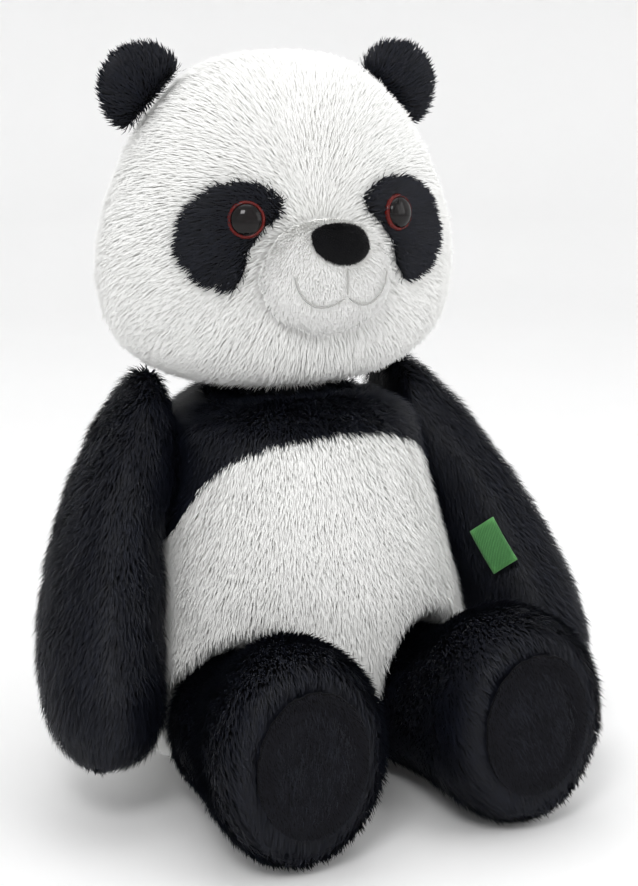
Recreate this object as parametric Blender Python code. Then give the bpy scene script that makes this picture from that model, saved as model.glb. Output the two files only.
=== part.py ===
"""Seated plush panda: sewn fur panels over soft fillings, safety eyes, separate limbs.

The panda sits on the floor (z = 0) facing -Y, its own left side is +X.
Every panel is a closed sheet as thick as its backing and pile together.
"""
import math

import bmesh
import bpy
import numpy as np
from mathutils import Matrix, Vector

# --- driving sizes, metres -------------------------------------------------
BODY_AXIS_Y = 0.0620        # puts the middle of the whole toy's footprint at Y = 0

BODY_HEIGHT = 0.2615        # from the floor to the neck opening
BODY_HALF_WIDTH = 0.1270
BODY_FRONT = 0.1120
BODY_BACK = 0.1280
BODY_SHIFT = 0.0400

HEAD_BASE_Z = BODY_HEIGHT + 0.0050   # lowest ring of the head, just above the body
HEAD_HEIGHT = 0.2185        # from that ring to the crown
HEAD_HALF_WIDTH = 0.1280
HEAD_FRONT = 0.0740         # reach of the face in front of the widest line
HEAD_BACK = 0.1040          # reach of the back of the head behind it
HEAD_SHIFT = 0.0160         # the widest line of the head lies this far forward

FUR_PANEL = 0.0080          # backing and long pile together
SHORT_PANEL = 0.0040        # backing and short pile together
SEAM_GAP = 0.0005           # between two panels along a seam
LAYER_GAP = 0.0006          # between a panel and what lies under it
SKIN_GAP = 0.0009           # between the face and what is sewn on it
TURN_GAP = 0.0015           # around pieces that turn

MUZZLE_HALF_WIDTH = 0.0500
MUZZLE_HALF_HEIGHT = 0.0425
MUZZLE_REACH = 0.0440
MUZZLE_Z = HEAD_BASE_Z + 0.0785
MUZZLE_ROOT_Y = -0.0780     # depth at which the muzzle dome starts

NOSE_HALF_WIDTH = 0.0200
NOSE_HALF_HEIGHT = 0.0135
NOSE_THICKNESS = 0.0060
NOSE_Z = MUZZLE_Z + 0.0225

EYE_X = 0.0525
EYE_Z = HEAD_BASE_Z + 0.1155
EYE_RADIUS = 0.0120
EYE_DOME = 0.0060
IRIS_WIDTH = 0.0024
IRIS_THICKNESS = 0.0016
STEM_RADIUS = 0.0022
STEM_LENGTH = 0.0170
WASHER_RADIUS = 0.0075
WASHER_THICKNESS = 0.0016

PATCH_X = 0.0575
PATCH_Z = EYE_Z - 0.0105
PATCH_LONG = 0.0375
PATCH_SHORT = 0.0330
PATCH_THICKNESS = 0.0026
PATCH_TILT = 40.0           # degrees, the outer end droops

MOUTH_Z = MUZZLE_Z - 0.0095
SMILE = [(0.0012, -0.0010), (0.0060, -0.0045), (0.0130, -0.0070), (0.0205, -0.0060),
         (0.0270, -0.0005), (0.0305, 0.0065), (0.0315, 0.0130)]
STITCH_RADIUS = 0.0006
STITCH_LIFT = 0.0012

EAR_BASE_Y = -0.0060
EAR_HALF_WIDTH = 0.0315
EAR_HEIGHT = 0.0430
EAR_THICKNESS = 0.0100
EAR_LEVEL = 0.845            # height fraction of the head where the ears stand

NECK_Z = BODY_HEIGHT + 0.0030
NECK_RADIUS = 0.0340

SHOULDER_X = 0.0858
SHOULDER_Z = BODY_HEIGHT - 0.0345
HIP_X = 0.0670
HIP_Y = -0.1050
HIP_Z = 0.0520
HIP_RADIUS = 0.0500
LEG_LIFT = 10.0             # degrees

LABEL_WIDTH = 0.0200
LABEL_HEIGHT = 0.0340
LABEL_THICKNESS = 0.0008

TAIL_RADII = (0.0250, 0.0130, 0.0210)
TAIL_Z = 0.0620

AROUND = 28                 # facets around the head and the body
LIMB_AROUND = 16
SMALL_AROUND = 16
PATCH_AROUND = 28

# --- shape tables ----------------------------------------------------------
# head: height fraction, width, front and back fractions, from the crown down
HEAD_ROWS = [
    (1.000, 0.000, 0.000, 0.000),
    (0.990, 0.235, 0.290, 0.260),
    (0.958, 0.410, 0.520, 0.490),
    (0.897, 0.560, 0.720, 0.690),
    (0.808, 0.705, 0.870, 0.850),
    (0.696, 0.825, 0.955, 0.950),
    (0.569, 0.920, 0.985, 1.000),
    (0.438, 0.985, 1.000, 1.000),
    (0.321, 1.000, 1.010, 0.980),
    (0.213, 0.965, 1.010, 0.950),
    (0.129, 0.885, 0.980, 0.900),
    (0.068, 0.760, 0.900, 0.840),
    (0.023, 0.600, 0.740, 0.760),
    (0.000, 0.480, 0.540, 0.680),
    (0.007, 0.400, 0.430, 0.620),
]
# body: height fraction, width, front and back fractions, from the neck down
BODY_ROWS = [
    (1.000, 0.430, 0.200, 0.660),
    (0.985, 0.570, 0.450, 0.780),
    (0.948, 0.660, 0.640, 0.870),
    (0.888, 0.700, 0.730, 0.930),
    (0.784, 0.740, 0.800, 0.970),
    (0.653, 0.805, 0.880, 1.000),
    (0.504, 0.890, 0.965, 1.015),
    (0.354, 0.970, 1.000, 1.020),
    (0.224, 1.000, 0.960, 1.015),
    (0.112, 0.940, 0.800, 0.980),
    (0.037, 0.790, 0.620, 0.890),
    (0.000, 0.620, 0.440, 0.760),
]
# height of the edge between the black yoke and the white below, by angle from the front
YOKE_EDGE = [(0.0, 0.945), (30.0, 0.925), (50.0, 0.885), (64.0, 0.820), (78.0, 0.690), (90.0, 0.600), (180.0, 0.580)]
YOKE_ROWS = 5
BELLY_ROWS = 8
SEAT_EDGE = 0.100

# arm: inner x, inner z, outer x, outer z, y, half depth; z is measured from the shoulder
ARM_ROWS = [
    (0.0858, -0.0390, 0.0858, 0.0410, -0.0030, 0.0410),
    (0.0890, -0.0420, 0.1060, 0.0330, -0.0100, 0.0480),
    (0.1010, -0.0500, 0.1300, 0.0110, -0.0210, 0.0530),
    (0.1060, -0.0610, 0.1540, -0.0250, -0.0350, 0.0570),
    (0.1100, -0.0790, 0.1750, -0.0660, -0.0540, 0.0590),
    (0.1165, -0.1040, 0.1885, -0.1000, -0.0700, 0.0600),
    (0.1195, -0.1310, 0.1945, -0.1300, -0.0830, 0.0600),
    (0.1210, -0.1550, 0.1945, -0.1560, -0.0920, 0.0540),
    (0.1280, -0.1730, 0.1875, -0.1745, -0.0950, 0.0410),
    (0.1400, -0.1840, 0.1765, -0.1850, -0.0955, 0.0235),
]
ARM_TIP = (0.1590, -0.0955, -0.1880)

# leg in front of the hip: y, middle x, middle z, half width, half height
LEG_ROWS = [
    (-0.1050, 0.0670, 0.0520, 0.0530, 0.0500),
    (-0.1280, 0.0690, 0.0550, 0.0525, 0.0515),
    (-0.1490, 0.0710, 0.0610, 0.0525, 0.0560),
    (-0.1680, 0.0730, 0.0680, 0.0540, 0.0645),
    (-0.1900, 0.0750, 0.0725, 0.0575, 0.0715),
    (-0.2120, 0.0765, 0.0725, 0.0595, 0.0720),
    (-0.2270, 0.0770, 0.0728, 0.0555, 0.0680),
    (-0.2345, 0.0770, 0.0738, 0.0485, 0.0600),
    (-0.2370, 0.0770, 0.0750, 0.0415, 0.0520),
]
SOLE_THICKNESS = 0.0030


# --- shape helpers ---------------------------------------------------------
def interpolate(table, at):
    """Straight-line interpolation of every column after the first."""
    keys = [row[0] for row in table]
    columns = len(table[0]) - 1
    return [float(np.interp(at, keys, [row[c + 1] for row in table])) for c in range(columns)]


def oval(half_x, front, back, shift, angle):
    """Point on an oval seen from above; angle 0 is the front, 90 degrees is +X."""
    reach = front if math.cos(angle) > 0.0 else back
    return half_x * math.sin(angle), -shift - reach * math.cos(angle)


def head_grid():
    """Rings of the head from the crown to the neck opening."""
    rows = []
    for height, width, front, back in HEAD_ROWS:
        z = HEAD_BASE_Z + HEAD_HEIGHT * height
        ring = []
        for k in range(AROUND):
            x, y = oval(HEAD_HALF_WIDTH * width, HEAD_FRONT * front, HEAD_BACK * back,
                        HEAD_SHIFT, 2.0 * math.pi * k / AROUND)
            ring.append((x, y, z))
        rows.append(ring)
    return np.array(rows)


def body_point(angle, height):
    """Point of the torso surface at an angle and a height fraction."""
    table = sorted(BODY_ROWS)
    width, front, back = interpolate(table, height)
    x, y = oval(BODY_HALF_WIDTH * width, BODY_FRONT * front, BODY_BACK * back, BODY_SHIFT, angle)
    return x, y, BODY_HEIGHT * height


def body_grid():
    """Rings of the torso; the rows follow the edge of the black yoke."""
    rows = YOKE_ROWS + BELLY_ROWS
    grid = np.zeros((rows + 4, AROUND, 3))
    for k in range(AROUND):
        angle = 2.0 * math.pi * k / AROUND
        from_front = abs(math.degrees(angle) - 360.0 * (angle > math.pi))
        edge = interpolate(YOKE_EDGE, from_front)[0]
        for r in range(rows + 1):
            if r <= YOKE_ROWS:
                height = 1.0 + (edge - 1.0) * (r / YOKE_ROWS) ** 1.15
            else:
                height = edge + (SEAT_EDGE - edge) * (r - YOKE_ROWS) / BELLY_ROWS
            grid[r, k] = body_point(angle, height)
        grid[rows + 1, k] = body_point(angle, BODY_ROWS[-2][0])
        grid[rows + 2, k] = body_point(angle, 0.0)
        grid[rows + 3, k] = (0.0, -BODY_SHIFT, 0.0)
    return grid


def arm_grid():
    """Rings of the left arm from the shoulder to the paw."""
    rows = []
    for inner_x, inner_z, outer_x, outer_z, y, depth in ARM_ROWS:
        middle = np.array([(inner_x + outer_x) / 2, y, SHOULDER_Z + (inner_z + outer_z) / 2])
        across = np.array([(outer_x - inner_x) / 2, 0.0, (outer_z - inner_z) / 2])
        ring = []
        for k in range(LIMB_AROUND):
            a = 2.0 * math.pi * k / LIMB_AROUND
            ring.append(middle - across * math.cos(a) + np.array([0.0, -depth * math.sin(a), 0.0]))
        rows.append(ring)
    tip_x, tip_y, tip_z = ARM_TIP
    rows.append([np.array([tip_x, tip_y, SHOULDER_Z + tip_z])] * LIMB_AROUND)
    return np.array(rows)


def leg_grid():
    """Rings of the left leg from the ball of the hip to the edge of the sole."""
    rows = [[(HIP_X, HIP_Y + HIP_RADIUS, HIP_Z)] * LIMB_AROUND]
    sections = []
    for step in (68.0, 45.0, 22.0):
        turn = math.radians(step)
        radius = HIP_RADIUS * math.cos(turn)
        sections.append((HIP_Y + HIP_RADIUS * math.sin(turn), HIP_X, HIP_Z, radius, radius))
    sections += LEG_ROWS
    for y, x, z, half_width, half_height in sections:
        ring = []
        for k in range(LIMB_AROUND):
            a = 2.0 * math.pi * k / LIMB_AROUND
            ring.append((x + half_width * math.cos(a), y, z + half_height * math.sin(a)))
        rows.append(ring)
    return np.array(rows)


def normals_of(grid):
    """Outward normals at every grid point; rows may end in poles."""
    count = grid.shape[0]
    around = np.roll(grid, -1, axis=1) - np.roll(grid, 1, axis=1)
    along = np.zeros_like(grid)
    for r in range(count):
        along[r] = grid[min(r + 1, count - 1)] - grid[max(r - 1, 0)]
    normals = np.cross(around, along)
    for r in range(count):
        if np.ptp(grid[r], axis=0).max() < 1e-9:
            neighbour = 1 if r == 0 else r - 1
            normals[r] = normals[neighbour].mean(axis=0)
    lengths = np.linalg.norm(normals, axis=2, keepdims=True)
    normals = normals / np.maximum(lengths, 1e-12)
    middle = grid.mean(axis=(0, 1))
    if np.sum(normals * (grid - middle)) < 0.0:
        normals = -normals
    return normals


def inset(grid, distance):
    """The same grid moved inward by a distance."""
    return grid - normals_of(grid) * distance


def link_mesh(name, verts, faces):
    """Make a closed, outward facing object from points and faces."""
    mesh = bpy.data.meshes.new(name)
    mesh.from_pydata([tuple(map(float, v)) for v in verts], [], faces)
    bm = bmesh.new()
    bm.from_mesh(mesh)
    bmesh.ops.recalc_face_normals(bm, faces=bm.faces)
    bm.to_mesh(mesh)
    bm.free()
    obj = bpy.data.objects.new(name, mesh)
    bpy.context.scene.collection.objects.link(obj)
    return obj


def is_pole(row):
    return np.ptp(row, axis=0).max() < 1e-9


def strip(faces, first, second, closed, flip=False):
    """Two triangles for every step along two rows of point numbers; a single point makes a fan."""
    steps = max(len(first), len(second))
    for i in range(steps if closed else steps - 1):
        j = (i + 1) % steps
        if len(first) == 1:
            new = [(first[0], second[j], second[i])]
        elif len(second) == 1:
            new = [(first[i], first[j], second[0])]
        else:
            new = [(first[i], first[j], second[j]), (first[i], second[j], second[i])]
        faces.extend([tuple(reversed(f)) for f in new] if flip else new)


def solid(name, grid):
    """Closed body over a whole grid; open ends are closed with a fan."""
    verts = []
    rows = []
    for row in grid:
        points = [row[0]] if is_pole(row) else list(row)
        rows.append(list(range(len(verts), len(verts) + len(points))))
        verts.extend(points)
    faces = []
    for first, second in zip(rows, rows[1:]):
        strip(faces, first, second, True)
    for end, row in ((0, grid[0]), (-1, grid[-1])):
        if not is_pole(row):
            verts.append(row.mean(axis=0))
            strip(faces, [len(verts) - 1], rows[end], True)
    return link_mesh(name, verts, faces)


def panel(name, outer, inner, row_range, columns=None, trim_first=False, trim_last=False):
    """Closed sheet between two matching grids, over some rows and columns."""
    first, last = row_range
    closed = columns is None
    picks = list(range(outer.shape[1])) if closed else [c % outer.shape[1] for c in columns]
    sheets = []
    for grid in (outer, inner):
        part = grid[first:last + 1][:, picks].copy()
        half = SEAM_GAP / 2.0
        if not closed:
            for edge, beside in ((0, 1), (-1, -2)):
                step = part[:, beside] - part[:, edge]
                length = np.linalg.norm(step, axis=1, keepdims=True)
                middle = part[:, len(picks) // 2].mean(axis=0) - part[:, edge].mean(axis=0)
                fallback = np.tile(middle / np.linalg.norm(middle), (len(step), 1))
                step = np.where(length > 1e-9, step / np.maximum(length, 1e-12), fallback)
                part[:, edge] += step * half
            for r in range(len(part)):
                if is_pole(grid[first + r]):
                    part[r] = part[r, 0] + (part[r, -1] - part[r, 0]) / 2
        for wanted, edge, beside in ((trim_first, 0, 1), (trim_last, -1, -2)):
            if wanted:
                step = part[beside] - part[edge]
                part[edge] += step / np.linalg.norm(step, axis=1, keepdims=True) * half
        sheets.append(part)
    verts = []
    numbers = []
    for part in sheets:
        rows = []
        for r, row in enumerate(part):
            points = [row[0]] if is_pole(row) else list(row)
            rows.append(list(range(len(verts), len(verts) + len(points))))
            verts.extend(points)
        numbers.append(rows)
    faces = []
    for rows, flip in ((numbers[0], False), (numbers[1], True)):
        for one, two in zip(rows, rows[1:]):
            strip(faces, one, two, closed, flip)
    top, under = numbers
    if not closed:
        for side in (0, -1):
            one = [row[side] for row in top]
            two = [row[side] for row in under]
            strip(faces, one, two, False, side == 0)
    for end in (0, -1):
        if len(top[end]) > 1:
            strip(faces, top[end], under[end], closed, end == -1)
    return link_mesh(name, verts, faces)


def cut(target, cutters):
    """Take the cutters away from an object and keep the result as its mesh."""
    for cutter in cutters:
        modifier = target.modifiers.new("cut", "BOOLEAN")
        modifier.operation = "DIFFERENCE"
        modifier.solver = "EXACT"
        modifier.object = cutter
        graph = bpy.context.evaluated_depsgraph_get()
        result = bpy.data.meshes.new_from_object(target.evaluated_get(graph))
        target.modifiers.clear()
        target.data = result
    bm = bmesh.new()
    bm.from_mesh(target.data)
    bmesh.ops.triangulate(bm, faces=bm.faces)
    bm.to_mesh(target.data)
    bm.free()


def ball(name, middle, radius, segments=24, rings=12):
    mesh = bpy.data.meshes.new(name)
    bm = bmesh.new()
    bmesh.ops.create_uvsphere(bm, u_segments=segments, v_segments=rings, radius=radius)
    bmesh.ops.translate(bm, verts=bm.verts, vec=middle)
    bmesh.ops.triangulate(bm, faces=bm.faces)
    bm.to_mesh(mesh)
    bm.free()
    obj = bpy.data.objects.new(name, mesh)
    bpy.context.scene.collection.objects.link(obj)
    return obj


def rod(name, start, end, radius, segments=12):
    """Closed cylinder between two points."""
    start = Vector(start)
    axis = Vector(end) - start
    turn = axis.to_track_quat("Z", "Y").to_matrix().to_4x4()
    mesh = bpy.data.meshes.new(name)
    bm = bmesh.new()
    bmesh.ops.create_cone(bm, cap_ends=True, cap_tris=True, segments=segments,
                          radius1=radius, radius2=radius, depth=axis.length)
    bmesh.ops.transform(bm, matrix=Matrix.Translation(start + axis / 2) @ turn, verts=bm.verts)
    bm.to_mesh(mesh)
    bm.free()
    obj = bpy.data.objects.new(name, mesh)
    bpy.context.scene.collection.objects.link(obj)
    return obj


def face_depth(x, z):
    """Y of the front of the head at x and z."""
    height = (z - HEAD_BASE_Z) / HEAD_HEIGHT
    width, front, _ = interpolate(sorted(HEAD_ROWS[:-1]), height)
    across = min(abs(x) / (HEAD_HALF_WIDTH * width), 0.999)
    return -HEAD_SHIFT - HEAD_FRONT * front * math.sqrt(1.0 - across ** 2)


def muzzle_depth(x, z):
    """Y of the front of the muzzle dome at x and z."""
    fall = (x / MUZZLE_HALF_WIDTH) ** 2 + ((z - MUZZLE_Z) / MUZZLE_HALF_HEIGHT) ** 2
    return MUZZLE_ROOT_Y - MUZZLE_REACH * math.sqrt(max(1.0 - fall, 0.0))


def lifted(depth, x, z, height):
    """Point a height above a front surface given as a depth function."""
    step = 0.002
    slope_x = (depth(x + step, z) - depth(x - step, z)) / (2 * step)
    slope_z = (depth(x, z + step) - depth(x, z - step)) / (2 * step)
    normal = Vector((slope_x, -1.0, slope_z)).normalized()
    return Vector((x, depth(x, z), z)) + normal * height


def raised_piece(name, depth, outline, clearance, thickness, rings=4, segments=18):
    """Closed piece lying on a front surface; outline gives (x, z) at a share of the rim."""
    verts = []
    layers = []
    for lift in (lambda share: clearance + thickness(share), lambda share: clearance):
        rows = []
        for r in range(rings + 1):
            share = r / rings
            count = 1 if r == 0 else segments
            rows.append(list(range(len(verts), len(verts) + count)))
            for k in range(count):
                x, z = outline(2.0 * math.pi * k / segments, share)
                verts.append(lifted(depth, x, z, lift(share)))
        layers.append(rows)
    faces = []
    for rows, flip in ((layers[0], False), (layers[1], True)):
        for one, two in zip(rows, rows[1:]):
            strip(faces, one, two, True, flip)
    strip(faces, layers[0][-1], layers[1][-1], True)
    return link_mesh(name, verts, faces)


def tube(name, path, radius, sides=6):
    """Closed thin tube along a list of points."""
    points = [Vector(p) for p in path]
    rows = []
    for i, point in enumerate(points):
        along = (points[min(i + 1, len(points) - 1)] - points[max(i - 1, 0)]).normalized()
        side = along.cross(Vector((0.0, 1.0, 0.0))).normalized()
        up = side.cross(along)
        row = []
        for k in range(sides):
            a = 2.0 * math.pi * k / sides
            row.append(point + side * (radius * math.cos(a)) + up * (radius * math.sin(a)))
        rows.append([tuple(p) for p in row])
    return solid(name, np.array(rows))


def material(name, colour, roughness, metallic=0.0):
    mat = bpy.data.materials.new(name)
    mat.use_nodes = True
    shader = mat.node_tree.nodes["Principled BSDF"]
    shader.inputs["Base Color"].default_value = (*colour, 1.0)
    shader.inputs["Roughness"].default_value = roughness
    shader.inputs["Metallic"].default_value = metallic
    return mat


def finish(obj, colour, roughness, metallic=0.0, origin=None, smooth=True):
    """Give a piece its material, shading and origin, and set it on the body axis."""
    obj.data.materials.clear()
    obj.data.materials.append(material(obj.name, colour, roughness, metallic))
    for polygon in obj.data.polygons:
        polygon.use_smooth = smooth
        polygon.material_index = 0
    place = Vector(origin) if origin is not None else Vector((0.0, 0.0, 0.0))
    obj.data.transform(Matrix.Translation(-place))
    obj.location = place + Vector((0.0, BODY_AXIS_Y, 0.0))


def mirror_copy(obj, name):
    """Copy of an object mirrored to the other side of the body."""
    mesh = obj.data.copy()
    mesh.transform(Matrix.Scale(-1.0, 4, Vector((1.0, 0.0, 0.0))))
    mesh.flip_normals()
    copy = bpy.data.objects.new(name, mesh)
    bpy.context.scene.collection.objects.link(copy)
    return copy


# --- colours ---------------------------------------------------------------
WHITE = (0.86, 0.86, 0.82)
BLACK = (0.012, 0.013, 0.018)
SOLE_BLACK = (0.015, 0.016, 0.022)
STUFFING = (0.92, 0.92, 0.90)


def build_head(neck):
    """Head panels, filling, muzzle, nose, mouth lines, patches and eyes."""
    grid = head_grid()
    lining = inset(grid, FUR_PANEL)
    last = len(HEAD_ROWS) - 1
    quarter = AROUND // 4
    sides = {
        "face_fur_left": range(0, quarter + 1),
        "head_back_fur_left": range(quarter, 2 * quarter + 1),
        "head_back_fur_right": range(2 * quarter, 3 * quarter + 1),
        "face_fur_right": range(3 * quarter, 4 * quarter + 1),
    }
    panels = {}
    for name, columns in sides.items():
        panels[name] = panel(name, grid, lining, (0, last), columns)
    filling = solid("head_stuffing", inset(grid, FUR_PANEL + LAYER_GAP))
    socket = ball("neck_socket", (0.0, 0.0, NECK_Z), NECK_RADIUS + TURN_GAP)

    stem_sides = []
    holes = []
    for side, mark in ((1.0, "left"), (-1.0, "right")):
        patch = raised_piece("eye_patch_" + mark, face_depth,
                             lambda angle, share, s=side: patch_outline(angle, share, s),
                             SKIN_GAP, lambda share: PATCH_THICKNESS * (1.0 - 0.6 * share ** 2),
                             segments=PATCH_AROUND)
        seat = lifted(face_depth, side * EYE_X, EYE_Z, SKIN_GAP + PATCH_THICKNESS + LAYER_GAP)
        outward = (seat - lifted(face_depth, side * EYE_X, EYE_Z, 0.0)).normalized()
        turn = outward.to_track_quat("Z", "Y").to_matrix().to_4x4()
        place = Matrix.Translation(seat) @ turn
        stem = eye_button("eye_button_" + mark, place)
        ring = iris_ring("eye_ring_" + mark, place)
        washer = lock_washer("eye_washer_" + mark, place)
        hole = rod("stem_hole", seat + outward * 0.004, seat - outward * STEM_LENGTH * 1.06,
                   STEM_RADIUS + LAYER_GAP)
        under = SKIN_GAP + PATCH_THICKNESS + LAYER_GAP + FUR_PANEL
        pocket = rod("washer_pocket", seat - outward * (under - 0.004), seat - outward * STEM_LENGTH * 1.06,
                     WASHER_RADIUS + LAYER_GAP, 16)
        cut(patch, [hole])
        cut(panels["face_fur_" + mark], [hole])
        stem_sides.append(pocket)
        holes.append(hole)
        finish(patch, BLACK, 0.9)
        finish(stem, (0.01, 0.008, 0.008), 0.05, 0.0, seat)
        finish(ring, (0.16, 0.02, 0.015), 0.15, 0.0, seat)
        finish(washer, (0.8, 0.8, 0.8), 0.4, 0.0, seat, False)
    cut(filling, [socket] + stem_sides)
    for helper in [socket] + stem_sides + holes:
        bpy.data.objects.remove(helper)
    for piece in panels.values():
        finish(piece, WHITE, 0.95, 0.0, neck)
    finish(filling, STUFFING, 1.0, 0.0, neck)
    build_muzzle()


def patch_outline(angle, share, side):
    """Drooping oval that stops short of the muzzle."""
    tilt = math.radians(PATCH_TILT)
    long_way = PATCH_LONG * math.cos(angle)
    short_way = PATCH_SHORT * math.sin(angle)
    reach = 1.0
    while reach > 0.3:
        x = PATCH_X + reach * (long_way * math.cos(tilt) + short_way * math.sin(tilt))
        z = PATCH_Z + reach * (-long_way * math.sin(tilt) + short_way * math.cos(tilt))
        near = (x / (MUZZLE_HALF_WIDTH + 0.0035)) ** 2
        near += ((z - MUZZLE_Z) / (MUZZLE_HALF_HEIGHT + 0.0035)) ** 2
        if near > 1.0 and x > 0.004:
            break
        reach -= 0.01
    return side * (PATCH_X + (x - PATCH_X) * share), PATCH_Z + (z - PATCH_Z) * share


def lathe(name, profile, place, segments=SMALL_AROUND):
    """Closed body of revolution about local Z from (radius, z) pairs, ends on the axis."""
    rows = []
    for radius, z in profile:
        ring = []
        for k in range(segments):
            a = 2.0 * math.pi * k / segments
            ring.append(tuple(place @ Vector((radius * math.cos(a), radius * math.sin(a), z))))
        rows.append(ring)
    return solid(name, np.array(rows))


def eye_button(name, place):
    """Glossy dome with its ribbed stem, as one moulded piece."""
    inner = EYE_RADIUS - IRIS_WIDTH
    rim = IRIS_THICKNESS + LAYER_GAP
    profile = [(0.0, EYE_DOME)]
    for step in (20.0, 40.0, 60.0, 78.0):
        turn = math.radians(step)
        profile.append((inner * math.sin(turn), rim + (EYE_DOME - rim) * math.cos(turn)))
    profile += [(inner, rim), (inner, 0.0), (STEM_RADIUS, 0.0), (STEM_RADIUS, -STEM_LENGTH + 0.001)]
    profile += [(STEM_RADIUS * 0.6, -STEM_LENGTH), (0.0, -STEM_LENGTH)]
    return lathe(name, profile, place)


def ring_body(name, inner, outer, low, high, place, segments=SMALL_AROUND):
    """Closed flat ring about local Z."""
    verts = []
    rows = []
    for radius, z in ((inner, low), (outer, low), (outer, high), (inner, high)):
        rows.append(list(range(len(verts), len(verts) + segments)))
        for k in range(segments):
            a = 2.0 * math.pi * k / segments
            verts.append(place @ Vector((radius * math.cos(a), radius * math.sin(a), z)))
    faces = []
    for one, two in zip(rows, rows[1:] + rows[:1]):
        strip(faces, one, two, True)
    return link_mesh(name, verts, faces)


def iris_ring(name, place):
    inner = EYE_RADIUS - IRIS_WIDTH + 0.0003
    return ring_body(name, inner, EYE_RADIUS, 0.0, IRIS_THICKNESS, place)


def lock_washer(name, place):
    top = -(SKIN_GAP + PATCH_THICKNESS + LAYER_GAP + FUR_PANEL + LAYER_GAP) - 0.0015
    return ring_body(name, STEM_RADIUS + 0.0003, WASHER_RADIUS, top - WASHER_THICKNESS, top, place)


def build_muzzle():
    """Muzzle cover and filling on the face, with the nose and the mouth lines on it."""
    rings = 6
    segments = 16

    def dome(shrink, rim_lift):
        rows = []
        for r in range(rings + 1):
            turn = math.radians(83.0) * r / rings
            ring = []
            for k in range(segments):
                a = 2.0 * math.pi * k / segments
                x = (MUZZLE_HALF_WIDTH - shrink) * math.sin(turn) * math.cos(a)
                z = MUZZLE_Z + (MUZZLE_HALF_HEIGHT - shrink) * math.sin(turn) * math.sin(a)
                y = MUZZLE_ROOT_Y - (MUZZLE_REACH - shrink) * math.cos(turn)
                y = min(y, face_depth(x, z) - SKIN_GAP - rim_lift)
                ring.append((x, y, z))
            rows.append(ring)
        return np.array(rows)

    outer = dome(0.0, 0.0015)
    inner = dome(SHORT_PANEL, 0.0)
    verts = []
    layers = []
    for grid in (outer, inner):
        rows = []
        for row in grid:
            points = [row[0]] if is_pole(row) else list(row)
            rows.append(list(range(len(verts), len(verts) + len(points))))
            verts.extend(points)
        layers.append(rows)
    rim = list(range(len(verts), len(verts) + segments))
    for x, _, z in outer[-1]:
        verts.append((x, face_depth(x, z) - SKIN_GAP, z))
    faces = []
    for rows, flip in ((layers[0], False), (layers[1], True)):
        for one, two in zip(rows, rows[1:]):
            strip(faces, one, two, True, flip)
    strip(faces, layers[0][-1], rim, True)
    strip(faces, rim, layers[1][-1], True)
    cover = link_mesh("muzzle_fur", verts, faces)

    front = dome(SHORT_PANEL + LAYER_GAP, 0.0)[:-2]
    back = [[(x, face_depth(x, z) - SKIN_GAP, z) for x, _, z in row] for row in front]
    filling = solid("muzzle_stuffing", np.concatenate([front, np.array(back)[::-1]]))

    nose = raised_piece("nose", muzzle_depth, nose_outline, LAYER_GAP,
                        lambda share: NOSE_THICKNESS * math.sqrt(1.0 - 0.93 * share ** 2))
    lift = STITCH_RADIUS + STITCH_LIFT
    upright = []
    for z in np.linspace(NOSE_Z - NOSE_HALF_HEIGHT - 0.0012, MOUTH_Z + 0.0010, 5):
        upright.append(lifted(muzzle_depth, 0.0, z, lift))
    lines = [tube("mouth_thread_upright", upright, STITCH_RADIUS)]
    for side, mark in ((1.0, "left"), (-1.0, "right")):
        smile = []
        for x, rise in SMILE:
            smile.append(lifted(muzzle_depth, side * x, MOUTH_Z + rise, lift))
        lines.append(tube("mouth_thread_" + mark, smile, STITCH_RADIUS))
    finish(cover, WHITE, 0.9)
    finish(filling, STUFFING, 1.0)
    finish(nose, (0.01, 0.01, 0.011), 0.7)
    for line in lines:
        finish(line, (0.35, 0.35, 0.34), 0.8)


def nose_outline(angle, share):
    """Oval with a flatter top."""
    x = NOSE_HALF_WIDTH * math.cos(angle)
    z = NOSE_HALF_HEIGHT * math.sin(angle)
    if z > 0.0:
        z = NOSE_HALF_HEIGHT * 0.82 * abs(math.sin(angle)) ** 0.7
    return x * share, NOSE_Z + z * share


def ear_base():
    """Middle of the ear base just off the head, and the lean of the head's surface there."""
    profile = []
    for height, width, _, back in sorted(HEAD_ROWS[:-1]):
        aside = min((EAR_BASE_Y + HEAD_SHIFT) / max(HEAD_BACK * back, 1e-6), 1.0)
        profile.append((HEAD_HALF_WIDTH * width * math.sqrt(1.0 - aside ** 2), height))
    below = max((p for p in profile if p[1] <= EAR_LEVEL), key=lambda p: p[1])
    above = min((p for p in profile if p[1] > EAR_LEVEL), key=lambda p: p[1])
    share = (EAR_LEVEL - below[1]) / (above[1] - below[1])
    rise = (above[1] - below[1]) * HEAD_HEIGHT
    lean = math.atan2(rise, below[0] - above[0])
    x = below[0] + (above[0] - below[0]) * share
    z = HEAD_BASE_Z + HEAD_HEIGHT * EAR_LEVEL
    return x + 2 * SKIN_GAP * math.sin(lean), z + 2 * SKIN_GAP * math.cos(lean), lean


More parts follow.
